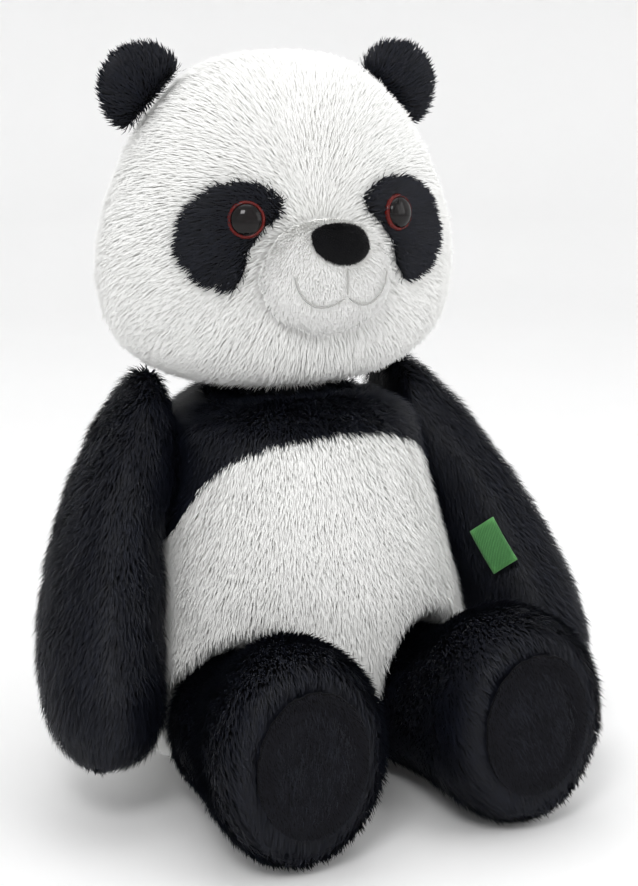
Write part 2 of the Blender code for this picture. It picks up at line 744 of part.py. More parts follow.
def build_ears():
    """Front and back panel of each ear, standing on the seam over the crown."""
    base_x, base_z, lean = ear_base()
    for side, mark in ((1.0, "left"), (-1.0, "right")):
        out = Vector((side * math.sin(lean), 0.0, math.cos(lean)))
        across = Vector((math.cos(lean), 0.0, -side * math.sin(lean)))
        base = Vector((side * base_x, EAR_BASE_Y, base_z))
        for name, way in (("ear_front_fur_", -1.0), ("ear_back_fur_", 1.0)):
            verts = []
            layers = []
            rings = 4
            segments = 20
            for layer in (1, 0):
                rows = []
                for r in range(rings + 1):
                    share = r / rings
                    count = 1 if r == 0 else segments
                    rows.append(list(range(len(verts), len(verts) + count)))
                    for k in range(count):
                        a = 2.0 * math.pi * k / segments
                        up = max(EAR_HEIGHT * (0.28 + 0.72 * math.sin(a)), 0.0)
                        middle = EAR_HEIGHT * 0.42
                        rise = middle + (up - middle) * share
                        wide = EAR_HALF_WIDTH * math.cos(a) * share
                        bulge = EAR_THICKNESS * math.sqrt(1.0 - 0.96 * share ** 2)
                        depth = SEAM_GAP / 2 + layer * bulge
                        verts.append(base + out * rise + across * wide + Vector((0.0, way * depth, 0.0)))
                layers.append(rows)
            faces = []
            for rows, flip in ((layers[0], False), (layers[1], True)):
                for one, two in zip(rows, rows[1:]):
                    strip(faces, one, two, True, flip)
            strip(faces, layers[0][-1], layers[1][-1], True)
            finish(link_mesh(name + mark, verts, faces), BLACK, 0.95, 0.0, base)


def hip_clearance(name, side):
    """Space the thigh sweeps while the leg lifts, as one convex body."""
    grid = leg_grid()[:8]
    bm = bmesh.new()
    middle = Vector((HIP_X, HIP_Y, HIP_Z))
    for step in range(4):
        turn = Matrix.Rotation(-math.radians(LEG_LIFT + 2.0) * step / 3 + math.radians(1.0), 4, "X")
        for row in grid:
            for point in row:
                spot = Vector(point) - middle
                spot.x *= 1.0 + TURN_GAP / HIP_RADIUS
                grown = spot + Vector((0.0, spot.y, spot.z)).normalized() * TURN_GAP
                spot = turn @ grown + middle
                bm.verts.new((side * spot.x, spot.y, spot.z))
    bmesh.ops.remove_doubles(bm, verts=bm.verts, dist=0.0002)
    hull = bmesh.ops.convex_hull(bm, input=bm.verts)
    bmesh.ops.delete(bm, geom=list({g for g in hull["geom_interior"] if isinstance(g, bmesh.types.BMVert)}),
                     context="VERTS")
    bmesh.ops.triangulate(bm, faces=bm.faces)
    bmesh.ops.recalc_face_normals(bm, faces=bm.faces)
    mesh = bpy.data.meshes.new(name)
    bm.to_mesh(mesh)
    bm.free()
    obj = bpy.data.objects.new(name, mesh)
    bpy.context.scene.collection.objects.link(obj)
    return obj


def build_body():
    """Yoke, belly, back and seat panels over the filling, with the tail behind."""
    grid = body_grid()
    lining = inset(grid, FUR_PANEL)
    rows = YOKE_ROWS + BELLY_ROWS
    quarter = AROUND // 4
    front = range(-quarter, quarter + 1)
    back = range(quarter, 3 * quarter + 1)
    pieces = {
        "yoke_front_fur": panel("yoke_front_fur", grid, lining, (0, YOKE_ROWS), front, False, True),
        "yoke_back_fur": panel("yoke_back_fur", grid, lining, (0, YOKE_ROWS), back, False, True),
    }
    lower = {
        "belly_fur_right": range(-quarter, 1),
        "belly_fur_left": range(0, quarter + 1),
        "back_fur_left": range(quarter, 2 * quarter + 1),
        "back_fur_right": range(2 * quarter, 3 * quarter + 1),
    }
    for name, columns in lower.items():
        pieces[name] = panel(name, grid, lining, (YOKE_ROWS, rows), columns, True, True)
    pieces["seat_panel"] = panel("seat_panel", grid, lining, (rows, rows + 3), None, True, False)
    filling = solid("torso_stuffing", inset(grid, FUR_PANEL + LAYER_GAP))

    socket = ball("neck_socket", (0.0, 0.0, NECK_Z), NECK_RADIUS + TURN_GAP)
    hips = [hip_clearance("hip_space", 1.0), hip_clearance("hip_space", -1.0)]
    shoulders = []
    for side in (1.0, -1.0):
        shoulders.append(rod("shoulder_space", (side * (SHOULDER_X - LAYER_GAP - 0.0006), -0.006, SHOULDER_Z),
                             (side * 0.14, -0.006, SHOULDER_Z), 0.060, 24))
    cut(filling, [socket] + hips + shoulders)
    for name in ("belly_fur_left", "belly_fur_right", "seat_panel"):
        cut(pieces[name], hips)
    for name in ("yoke_front_fur", "yoke_back_fur"):
        cut(pieces[name], shoulders)
    for name in ("belly_fur_left", "back_fur_left"):
        cut(pieces[name], shoulders[:1])
    for name in ("belly_fur_right", "back_fur_right"):
        cut(pieces[name], shoulders[1:])
    for helper in [socket] + hips + shoulders:
        bpy.data.objects.remove(helper)

    for name, piece in pieces.items():
        finish(piece, BLACK if name.startswith("yoke") else WHITE, 0.95)
    finish(filling, STUFFING, 1.0)

    _, behind, _ = body_point(math.pi, TAIL_Z / BODY_HEIGHT)
    tail = ball("tail_fur", (0.0, 0.0, 0.0), 1.0, 20, 12)
    tail.data.transform(Matrix.Diagonal((*TAIL_RADII, 1.0)))
    tail.data.transform(Matrix.Translation((0.0, behind + TAIL_RADII[1] + SKIN_GAP, TAIL_Z)))
    finish(tail, WHITE, 0.95)


def build_neck(neck):
    core = ball("neck_stuffing", neck, NECK_RADIUS, 16, 8)
    finish(core, STUFFING, 1.0, 0.0, neck)


def build_arms():
    """Outer and inner panel and filling of both arms, and the woven tab."""
    grid = arm_grid()
    last = len(ARM_ROWS)
    half = LIMB_AROUND // 2
    quarter = LIMB_AROUND // 4
    # column 0 is the inner side; the two panels meet along the front and the back
    outer_columns = range(quarter, quarter + half + 1)
    inner_columns = range(quarter + half, quarter + 2 * half + 1)
    shoulder = (SHOULDER_X, 0.0, SHOULDER_Z)
    lining = inset(grid, FUR_PANEL)
    core = inset(grid, FUR_PANEL + LAYER_GAP)
    for layer in (lining, core):
        layer[0, :, 0] = SHOULDER_X
    left = {
        "arm_outer_fur_": (panel("arm_outer_fur_left", grid, lining, (0, last), outer_columns), BLACK),
        "arm_inner_fur_": (panel("arm_inner_fur_left", grid, lining, (0, last), inner_columns), BLACK),
        "arm_stuffing_": (solid("arm_stuffing_left", core), STUFFING),
    }
    for name, (piece, colour) in left.items():
        other = mirror_copy(piece, name + "right")
        finish(piece, colour, 0.95, 0.0, shoulder)
        finish(other, colour, 0.95, 0.0, (-SHOULDER_X, 0.0, SHOULDER_Z))

    row = grid[4]
    normals = normals_of(grid)[4]
    spot = (row[2] + row[3]) / 2
    outward = Vector((normals[2] + normals[3]) / 2).normalized()
    up = Vector(grid[3][2] - grid[5][2]).normalized()
    across = outward.cross(up).normalized()
    up = across.cross(outward)
    middle = Vector(spot) + outward * (SKIN_GAP + LABEL_THICKNESS + 0.0008)
    bm = bmesh.new()
    bmesh.ops.create_cube(bm, size=1.0)
    frame = Matrix((across, outward, up)).transposed().to_4x4()
    scale = Matrix.Diagonal((LABEL_WIDTH, LABEL_THICKNESS, LABEL_HEIGHT, 1.0))
    bmesh.ops.transform(bm, matrix=Matrix.Translation(middle) @ frame @ scale, verts=bm.verts)
    bmesh.ops.recalc_face_normals(bm, faces=bm.faces)
    bmesh.ops.triangulate(bm, faces=bm.faces)
    mesh = bpy.data.meshes.new("woven_tab")
    bm.to_mesh(mesh)
    bm.free()
    tab = bpy.data.objects.new("woven_tab", mesh)
    bpy.context.scene.collection.objects.link(tab)
    finish(tab, (0.08, 0.33, 0.09), 0.6, 0.0, shoulder, False)


def build_legs():
    """Upper and lower panel, sole and filling of both legs."""
    grid = leg_grid()
    last = grid.shape[0] - 1
    half = LIMB_AROUND // 2
    open_row = 2
    lining = inset(grid, FUR_PANEL)
    core = inset(grid, FUR_PANEL + LAYER_GAP)[:-1]
    core[-2] = core[-2].mean(axis=0) + (core[-2] - core[-2].mean(axis=0)) * 0.88
    core[-1, :, 1] = LEG_ROWS[-1][0]
    core[-1, :, 0] = grid[-1, :, 0] * 0.62 + LEG_ROWS[-1][1] * 0.38
    core[-1, :, 2] = grid[-1, :, 2] * 0.70 + LEG_ROWS[-1][2] * 0.30
    _, sole_x, sole_z, half_width, half_height = LEG_ROWS[-1]
    sole_rows = []
    back_y = LEG_ROWS[-1][0] - LAYER_GAP
    for share, y in ((0.0, back_y), (0.94, back_y), (0.93, back_y - SOLE_THICKNESS * 0.4),
                     (0.80, back_y - SOLE_THICKNESS * 0.8), (0.0, back_y - SOLE_THICKNESS)):
        sole_rows.append([(sole_x + half_width * share * math.cos(2.0 * math.pi * k / LIMB_AROUND), y,
                           sole_z + half_height * share * math.sin(2.0 * math.pi * k / LIMB_AROUND))
                          for k in range(LIMB_AROUND)])
    hip = (HIP_X, HIP_Y, HIP_Z)
    left = {
        "leg_upper_fur_": (panel("leg_upper_fur_left", grid, lining, (open_row, last),
                                 range(0, half + 1)), BLACK),
        "leg_lower_fur_": (panel("leg_lower_fur_left", grid, lining, (open_row, last),
                                 range(half, 2 * half + 1)), BLACK),
        "leg_stuffing_": (solid("leg_stuffing_left", core), STUFFING),
        "foot_sole_": (solid("foot_sole_left", np.array(sole_rows)), SOLE_BLACK),
    }
    for name, (piece, colour) in left.items():
        other = mirror_copy(piece, name + "right")
        finish(piece, colour, 0.95, 0.0, hip)
        finish(other, colour, 0.95, 0.0, (-HIP_X, HIP_Y, HIP_Z))


for old in list(bpy.data.objects):
    bpy.data.objects.remove(old)

NECK = (0.0, 0.0, NECK_Z)
build_head(NECK)
build_ears()
build_neck(NECK)
build_body()
build_arms()
build_legs()
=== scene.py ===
# %% [markdown]
# # A seated plush panda
# The toy is sewn from long pile fur over soft filling, with a short pile muzzle and soles,
# a flocked nose and two safety eyes. This lesson loads the finished frame of the toy, puffs up
# each stuffed form, grows real pile on every panel and then adds the small hard pieces.
# %% Load the frame
import math

import bmesh
import bpy
import numpy as np
from mathutils import Matrix, Vector
from mathutils.bvhtree import BVHTree


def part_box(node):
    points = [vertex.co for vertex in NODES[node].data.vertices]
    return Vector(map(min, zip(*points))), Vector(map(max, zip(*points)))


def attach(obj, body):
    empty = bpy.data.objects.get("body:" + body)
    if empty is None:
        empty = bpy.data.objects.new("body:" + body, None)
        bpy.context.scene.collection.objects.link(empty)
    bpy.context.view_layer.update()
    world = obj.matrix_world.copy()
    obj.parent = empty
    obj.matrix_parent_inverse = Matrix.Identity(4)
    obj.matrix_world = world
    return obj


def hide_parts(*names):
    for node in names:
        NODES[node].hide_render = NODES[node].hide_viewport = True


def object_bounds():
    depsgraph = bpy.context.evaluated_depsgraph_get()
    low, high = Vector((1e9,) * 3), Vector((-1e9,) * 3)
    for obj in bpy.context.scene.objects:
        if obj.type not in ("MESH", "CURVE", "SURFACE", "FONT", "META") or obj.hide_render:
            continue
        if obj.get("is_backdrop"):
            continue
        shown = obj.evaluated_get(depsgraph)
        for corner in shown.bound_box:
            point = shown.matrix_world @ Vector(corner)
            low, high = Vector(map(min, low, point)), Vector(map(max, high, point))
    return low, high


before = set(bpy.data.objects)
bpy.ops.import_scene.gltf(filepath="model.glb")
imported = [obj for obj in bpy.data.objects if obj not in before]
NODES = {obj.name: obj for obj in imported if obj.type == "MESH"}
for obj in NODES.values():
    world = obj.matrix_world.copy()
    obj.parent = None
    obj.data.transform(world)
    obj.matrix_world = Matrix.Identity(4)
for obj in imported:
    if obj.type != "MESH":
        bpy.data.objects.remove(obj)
FRAME_LOW, FRAME_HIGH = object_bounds()

# %% [markdown]
# Each tuft carries painted shade at its root and painted light at its tip, and no two
# tufts match. One shared group mixes those three effects, so every fur on the toy uses it with
# its own two colours. It reads two values that each tuft carries: how far along it we are, and
# a random tone.
# %% Shared node group: fibre colour with painted shade and light


def group_socket(tree, name, kind, default=None, out=False):
    """Add one named socket to a node group."""
    side = "OUTPUT" if out else "INPUT"
    socket = tree.interface.new_socket(name=name, in_out=side, socket_type=kind)
    if default is not None:
        socket.default_value = default
    return socket


def mix_colours(tree, factor, first, second):
    """A colour mix node fed by sockets; returns its result socket."""
    node = tree.nodes.new("ShaderNodeMix")
    node.data_type = "RGBA"
    for name, value in (("Factor", factor), ("A", first), ("B", second)):
        socket = node.inputs[name]
        if isinstance(value, bpy.types.NodeSocket):
            tree.links.new(value, socket)
        else:
            socket.default_value = value
    return node.outputs["Result"]


def fibre_light_and_colour_group():
    """Painted root shade to painted tip light of a tuft, with odd fibres in loose patches."""
    tree = bpy.data.node_groups.new("Fibre Painted Light and Colour", "ShaderNodeTree")
    group_socket(tree, "Root", "NodeSocketColor", (0.5, 0.5, 0.5, 1.0))
    group_socket(tree, "Tip", "NodeSocketColor", (0.8, 0.8, 0.8, 1.0))
    group_socket(tree, "Odd Fibre", "NodeSocketColor", (0.7, 0.7, 0.7, 1.0))
    group_socket(tree, "Patch Size", "NodeSocketFloat", 40.0)
    group_socket(tree, "Color", "NodeSocketColor", out=True)
    inside = tree.nodes.new("NodeGroupInput")
    outside = tree.nodes.new("NodeGroupOutput")
    along = tree.nodes.new("ShaderNodeAttribute")
    along.attribute_name = "along"
    tone = tree.nodes.new("ShaderNodeAttribute")
    tone.attribute_name = "tone"
    place = tree.nodes.new("ShaderNodeTexCoord")
    cloud = tree.nodes.new("ShaderNodeTexNoise")
    cloud.inputs["Detail"].default_value = 2.0
    tree.links.new(place.outputs["Object"], cloud.inputs["Vector"])
    tree.links.new(inside.outputs["Patch Size"], cloud.inputs["Scale"])
    # The root colour is painted shade and the tip colour is painted light.
    rise = mix_colours(tree, along.outputs["Fac"], inside.outputs["Root"], inside.outputs["Tip"])
    blend = tree.nodes.new("ShaderNodeMath")
    blend.operation = "MULTIPLY"
    tree.links.new(tone.outputs["Fac"], blend.inputs[0])
    tree.links.new(cloud.outputs["Fac"], blend.inputs[1])
    final = mix_colours(tree, blend.outputs[0], rise, inside.outputs["Odd Fibre"])
    tree.links.new(final, outside.inputs["Color"])
    return tree


FIBRE_LIGHT_AND_COLOUR = fibre_light_and_colour_group()
print("group:", FIBRE_LIGHT_AND_COLOUR.name)

# %% [markdown]
# A second shared group gives fine grain: a noise on object coordinates that drives both a bump
# height and a small change of shade. Felt, flock, backing cloth and filling all use it, each at
# its own scale.
# %% Shared node group: fine grain


def fine_grain_group():
    """Two close shades and a height from one fine noise."""
    tree = bpy.data.node_groups.new("Fine Grain", "ShaderNodeTree")
    group_socket(tree, "Dark", "NodeSocketColor", (0.4, 0.4, 0.4, 1.0))
    group_socket(tree, "Light", "NodeSocketColor", (0.6, 0.6, 0.6, 1.0))
    group_socket(tree, "Grain Size", "NodeSocketFloat", 900.0)
    group_socket(tree, "Color", "NodeSocketColor", out=True)
    group_socket(tree, "Height", "NodeSocketFloat", out=True)
    inside = tree.nodes.new("NodeGroupInput")
    outside = tree.nodes.new("NodeGroupOutput")
    place = tree.nodes.new("ShaderNodeTexCoord")
    grain = tree.nodes.new("ShaderNodeTexNoise")
    grain.inputs["Detail"].default_value = 4.0
    tree.links.new(place.outputs["Object"], grain.inputs["Vector"])
    tree.links.new(inside.outputs["Grain Size"], grain.inputs["Scale"])
    shade = mix_colours(tree, grain.outputs["Fac"],
                        inside.outputs["Dark"], inside.outputs["Light"])
    tree.links.new(shade, outside.inputs["Color"])
    tree.links.new(grain.outputs["Fac"], outside.inputs["Height"])
    return tree


FINE_GRAIN = fine_grain_group()
print("group:", FINE_GRAIN.name)

# %% [markdown]
# Each finish is a Principled shader with a shared group feeding its colour. Numbers that are the
# same everywhere, such as sheen or coat, sit on the shader itself. The black pile gets a navy
# sheen, because dyed long pile scatters a cold light along its tips; the lighter navy of its tip
# and odd fibre colours is painted sheen.
# %% Finishes


def finish_of(name, roughness, **values):
    """A new material and its shader, with plain values set on the shader's own sockets."""
    made = bpy.data.materials.new(name)
    made.use_nodes = True
    shader = made.node_tree.nodes["Principled BSDF"]
    shader.inputs["Roughness"].default_value = roughness
    for socket, value in values.items():
        shader.inputs[socket.replace("_", " ")].default_value = value
    return made, shader


def pile_finish(name, root, tip, odd, roughness, patch_size=40.0, **values):
    """Finish for tufts: shared fibre colour, with painted root shade and tip light, into Base
    Color.
    """
    made, shader = finish_of(name, roughness, **values)
    tree = made.node_tree
    node = tree.nodes.new("ShaderNodeGroup")
    node.node_tree = FIBRE_LIGHT_AND_COLOUR
    # The root colour is painted shade and the tip colour is painted light.
    for socket, colour in (("Root", root), ("Tip", tip), ("Odd Fibre", odd)):
        node.inputs[socket].default_value = (*colour, 1.0)
    node.inputs["Patch Size"].default_value = patch_size
    tree.links.new(node.outputs["Color"], shader.inputs["Base Color"])
    return made


def grain_finish(name, dark, light, grain_size, bump, roughness, **values):
    """Finish for plain surfaces: shared grain into colour and bump."""
    made, shader = finish_of(name, roughness, **values)
    tree = made.node_tree
    node = tree.nodes.new("ShaderNodeGroup")
    node.node_tree = FINE_GRAIN
    node.inputs["Dark"].default_value = (*dark, 1.0)
    node.inputs["Light"].default_value = (*light, 1.0)
    node.inputs["Grain Size"].default_value = grain_size
    raised = tree.nodes.new("ShaderNodeBump")
    raised.inputs["Strength"].default_value = 0.6
    raised.inputs["Distance"].default_value = bump
    tree.links.new(node.outputs["Color"], shader.inputs["Base Color"])
    tree.links.new(node.outputs["Height"], raised.inputs["Height"])
    tree.links.new(raised.outputs["Normal"], shader.inputs["Normal"])
    return made


# In each pile below, the darker root is painted shade and the lighter tip painted light.
WHITE_PILE = pile_finish(
    "white long pile", root=(0.88, 0.88, 0.85), tip=(0.97, 0.97, 0.96), odd=(0.93, 0.935, 0.91),
    roughness=0.8, Sheen_Weight=0.25, Sheen_Roughness=0.5)
# Its lighter navy tip and odd fibre colours are painted sheen.
BLACK_PILE = pile_finish(
    "black long pile", root=(0.0010, 0.0010, 0.0016), tip=(0.0032, 0.0042, 0.0088),
    odd=(0.0065, 0.0090, 0.0190), roughness=0.55, Specular_IOR_Level=0.25,
    Sheen_Weight=0.02, Sheen_Roughness=0.4, Sheen_Tint=(0.45, 0.55, 0.9, 1.0))
MUZZLE_PILE = pile_finish(
    "white short pile", root=(0.88, 0.88, 0.86), tip=(0.97, 0.97, 0.96), odd=(0.93, 0.93, 0.91),
    roughness=0.85, patch_size=80.0, Sheen_Weight=0.3, Sheen_Roughness=0.5)
SOLE_PILE = pile_finish(
    "black short pile", root=(0.0012, 0.0012, 0.0018), tip=(0.0045, 0.0048, 0.0080),
    odd=(0.0080, 0.0085, 0.0140), roughness=0.75, patch_size=60.0, Specular_IOR_Level=0.2,
    Sheen_Weight=0.02, Sheen_Roughness=0.5, Sheen_Tint=(0.6, 0.65, 0.9, 1.0))
NOSE_FLOCK = pile_finish(
    "black flock", root=(0.0015, 0.0015, 0.0016), tip=(0.0050, 0.0050, 0.0054),
    odd=(0.0090, 0.0090, 0.0095), roughness=0.7, patch_size=120.0, Specular_IOR_Level=0.25,
    Sheen_Weight=0.03, Sheen_Roughness=0.4)
WHITE_BACKING = grain_finish(
    "white knit backing", dark=(0.84, 0.84, 0.81), light=(0.92, 0.92, 0.90),
    grain_size=900.0, bump=0.0004, roughness=0.9)
BLACK_BACKING = grain_finish(
    "black knit backing", dark=(0.0010, 0.0010, 0.0015), light=(0.0030, 0.0030, 0.0045),
    grain_size=900.0, bump=0.0004, roughness=0.9, Specular_IOR_Level=0.2)
THREAD = grain_finish(
    "grey thread", dark=(0.30, 0.30, 0.29), light=(0.50, 0.50, 0.48),
    grain_size=2200.0, bump=0.0003, roughness=0.8)
WASHER_PLASTIC = grain_finish(
    "washer plastic", dark=(0.74, 0.74, 0.73), light=(0.84, 0.84, 0.83),
    grain_size=500.0, bump=0.0001, roughness=0.4)
print("finishes:", len(bpy.data.materials))

# %% [markdown]
# The stuffed forms come from the frame's own solids. A form joins a filling with the panels sewn
# round it and remeshes them into one even skin. That skin is then drawn in by the length of the
# pile, because the frame's solids are measured over the tips of the fur.
# %% Join, remesh and draw in

VOXEL = 0.005
PILE_DEPTH = 0.0045
MERGE_DISTANCE = 0.00002


def linked(name, mesh):
    """A new object at the origin holding a mesh."""
    made = bpy.data.objects.new(name, mesh)
    bpy.context.scene.collection.objects.link(made)
    return made


def joined_copy(name, nodes):
    """One mesh holding merged copies of some nodes."""
    shape = bmesh.new()
    for node in nodes:
        shape.from_mesh(NODES[node].data)
    bmesh.ops.remove_doubles(shape, verts=shape.verts, dist=MERGE_DISTANCE)
    mesh = bpy.data.meshes.new(name)
    shape.to_mesh(mesh)
    shape.free()
    return linked(name, mesh)


def with_modifiers_applied(piece):
    """Replace a piece's mesh by what its modifiers make."""
    graph = bpy.context.evaluated_depsgraph_get()
    result = bpy.data.meshes.new_from_object(
        piece.evaluated_get(graph), preserve_all_data_layers=True, depsgraph=graph)
    piece.modifiers.clear()
    piece.data = result
    return piece


def relax(shape):
    """One step of smoothing over the whole skin."""
    bmesh.ops.smooth_vert(shape, verts=shape.verts, factor=0.5,
                          use_axis_x=True, use_axis_y=True, use_axis_z=True)


def even_skin(name, nodes, draw_in, voxel=VOXEL, smoothing=3):
    """Joined copy, remeshed and moved inwards by draw_in."""
    piece = joined_copy(name, nodes)
    remesh = piece.modifiers.new("even", "REMESH")
    remesh.mode = "VOXEL"
    remesh.voxel_size = voxel
    with_modifiers_applied(piece)
    shape = bmesh.new()
    shape.from_mesh(piece.data)
    for _ in range(smoothing):
        relax(shape)
    shape.normal_update()
    steps = [vert.normal * -draw_in for vert in shape.verts]
    for vert, step in zip(shape.verts, steps):
        vert.co += step
    relax(shape)
    shape.to_mesh(piece.data)
    shape.free()
    print(name, "skin:", len(piece.data.vertices), "points")
    return piece


# %% [markdown]
# Cloth under a little air pressure gives a stuffed form its crown and its soft hollows. The
# solver runs twenty short steps without gravity. Each point may move only a few millimetres, so
# the toy keeps its size, and one subdivision at the end rounds what is left.
# %% Puff a form

AIR_PRESSURE = 4.0
CLOTH_QUALITY = 4
PUFF_FRAMES = 20
TINY = 1e-9


def puffed(piece, most=0.003):
    """Swell a skin with the cloth solver, keep each point near its start, and subdivide once."""
    start = np.array([vert.co for vert in piece.data.vertices])
    cloth = piece.modifiers.new("puff", "CLOTH")
    cloth.settings.use_pressure = True
    cloth.settings.uniform_pressure_force = AIR_PRESSURE
    cloth.settings.effector_weights.gravity = 0.0
    cloth.settings.quality = CLOTH_QUALITY
    cloth.point_cache.frame_start = 1
    cloth.point_cache.frame_end = PUFF_FRAMES
    for step in range(1, PUFF_FRAMES + 1):
        bpy.context.scene.frame_set(step)
    graph = bpy.context.evaluated_depsgraph_get()
    swollen = piece.evaluated_get(graph).data
    end = np.array([vert.co for vert in swollen.vertices])
    piece.modifiers.clear()
    bpy.context.scene.frame_set(1)
    move = end - start
    length = np.linalg.norm(move, axis=1, keepdims=True)
    move *= np.minimum(1.0, most / np.maximum(length, TINY))
    piece.data.vertices.foreach_set("co", (start + move).astype(np.float32).ravel())
    swell = round(float(length.max()) * 1000, 1)
    print(piece.name, "puffed by up to", swell, "mm before the limit")
    rounder = piece.modifiers.new("round", "SUBSURF")
    rounder.levels = 1
    rounder.render_levels = 1
    with_modifiers_applied(piece)
    piece.data.shade_smooth()
    return piece


# %% [markdown]
# Arms and legs are pairs, so the right one is the left one mirrored. Mirroring a mesh turns its
# faces inside out, and they are turned back straight away.
# %% Mirror a form


def mirrored(piece, name):
    """A copy of a piece on the other side of the toy."""
    mesh = piece.data.copy()
    shape = bmesh.new()
    shape.from_mesh(mesh)
    bmesh.ops.scale(shape, vec=(-1.0, 1.0, 1.0), verts=shape.verts)
    bmesh.ops.reverse_faces(shape, faces=shape.faces)
    shape.to_mesh(mesh)
    shape.free()
    return linked(name, mesh)


# %% [markdown]
# Pile is real geometry here: small tapered tufts, each bent over once. A node tree scatters
# points evenly over a panel and sets a tuft on each one. A tuft leans between the skin's normal
# and the way the fur is combed, with a little disorder, and its flat side faces outwards.
# %% One tuft

TUFT_NARROWING = 0.74
TUFT_MIDDLE = Vector((0.0, 0.10, 0.55))
TUFT_TIP = Vector((0.0, -0.02, 1.0))


def tuft_mesh():
    """A tuft 1 long and 1 wide: a bent strip that ends in a point."""
    shape = bmesh.new()
    root = [shape.verts.new((-0.5, 0.0, 0.0)), shape.verts.new((0.5, 0.0, 0.0))]
    shape.edges.new(root)
    lifted = bmesh.ops.extrude_edge_only(shape, edges=shape.edges[:])
    middle = [item for item in lifted["geom"] if isinstance(item, bmesh.types.BMVert)]
    bmesh.ops.scale(shape, vec=(TUFT_NARROWING, 1.0, 1.0), verts=middle)
    bmesh.ops.translate(shape, vec=TUFT_MIDDLE, verts=middle)
    upper = [edge for edge in shape.edges if all(vert in middle for vert in edge.verts)]
    lifted = bmesh.ops.extrude_edge_only(shape, edges=upper)
    tip = [item for item in lifted["geom"] if isinstance(item, bmesh.types.BMVert)]
    bmesh.ops.pointmerge(shape, verts=tip, merge_co=TUFT_TIP)
    shape.normal_update()
    if sum(face.normal.y for face in shape.faces) < 0.0:
        bmesh.ops.reverse_faces(shape, faces=shape.faces)
    mesh = bpy.data.meshes.new("tuft")
    shape.to_mesh(mesh)
    shape.free()
    along = mesh.attributes.new("along", "FLOAT", "POINT")
    along.data.foreach_set("value", [vert.co.z for vert in mesh.vertices])
    return mesh


TUFT = linked("tuft", tuft_mesh())
TUFT.hide_render = True
print("tuft:", len(TUFT.data.vertices), "points,", len(TUFT.data.polygons), "faces")

# %% [markdown]
# The scattering tree is built once and used by every panel with its own numbers: spacing,
# length, width, how flat it lies, which way it is combed and how untidy it is.
# %% The pile tree

MOST_TUFTS = 3.0e6
SWIRL_SCALE = 55.0
SWIRL_SWAY = 2.6
SHORTEST, LONGEST = 0.72, 1.12
JITTER_SEED, SIZE_SEED, TONE_SEED = 3, 5, 9


def link(tree, first, second):
    tree.links.new(first, second)


def vector_step(tree, operation, *values):
    """A vector maths node; values are sockets or constants."""
    node = tree.nodes.new("ShaderNodeVectorMath")
    node.operation = operation
    places = node.inputs
    if operation == "SCALE":
        places = [node.inputs[0], node.inputs["Scale"]]
    for socket, value in zip(places, values):
        if isinstance(value, bpy.types.NodeSocket):
            tree.links.new(value, socket)
        else:
            socket.default_value = value
    return node.outputs["Value" if operation == "DOT_PRODUCT" else "Vector"]


def random_step(tree, kind, low, high, seed):
    """A random value between low and high for each tuft."""
    node = tree.nodes.new("FunctionNodeRandomValue")
    node.data_type = kind
    used = [s for s in node.inputs if s.enabled]
    used[0].default_value = low
    used[1].default_value = high
    node.inputs["Seed"].default_value = seed
    return [s for s in node.outputs if s.enabled][0]


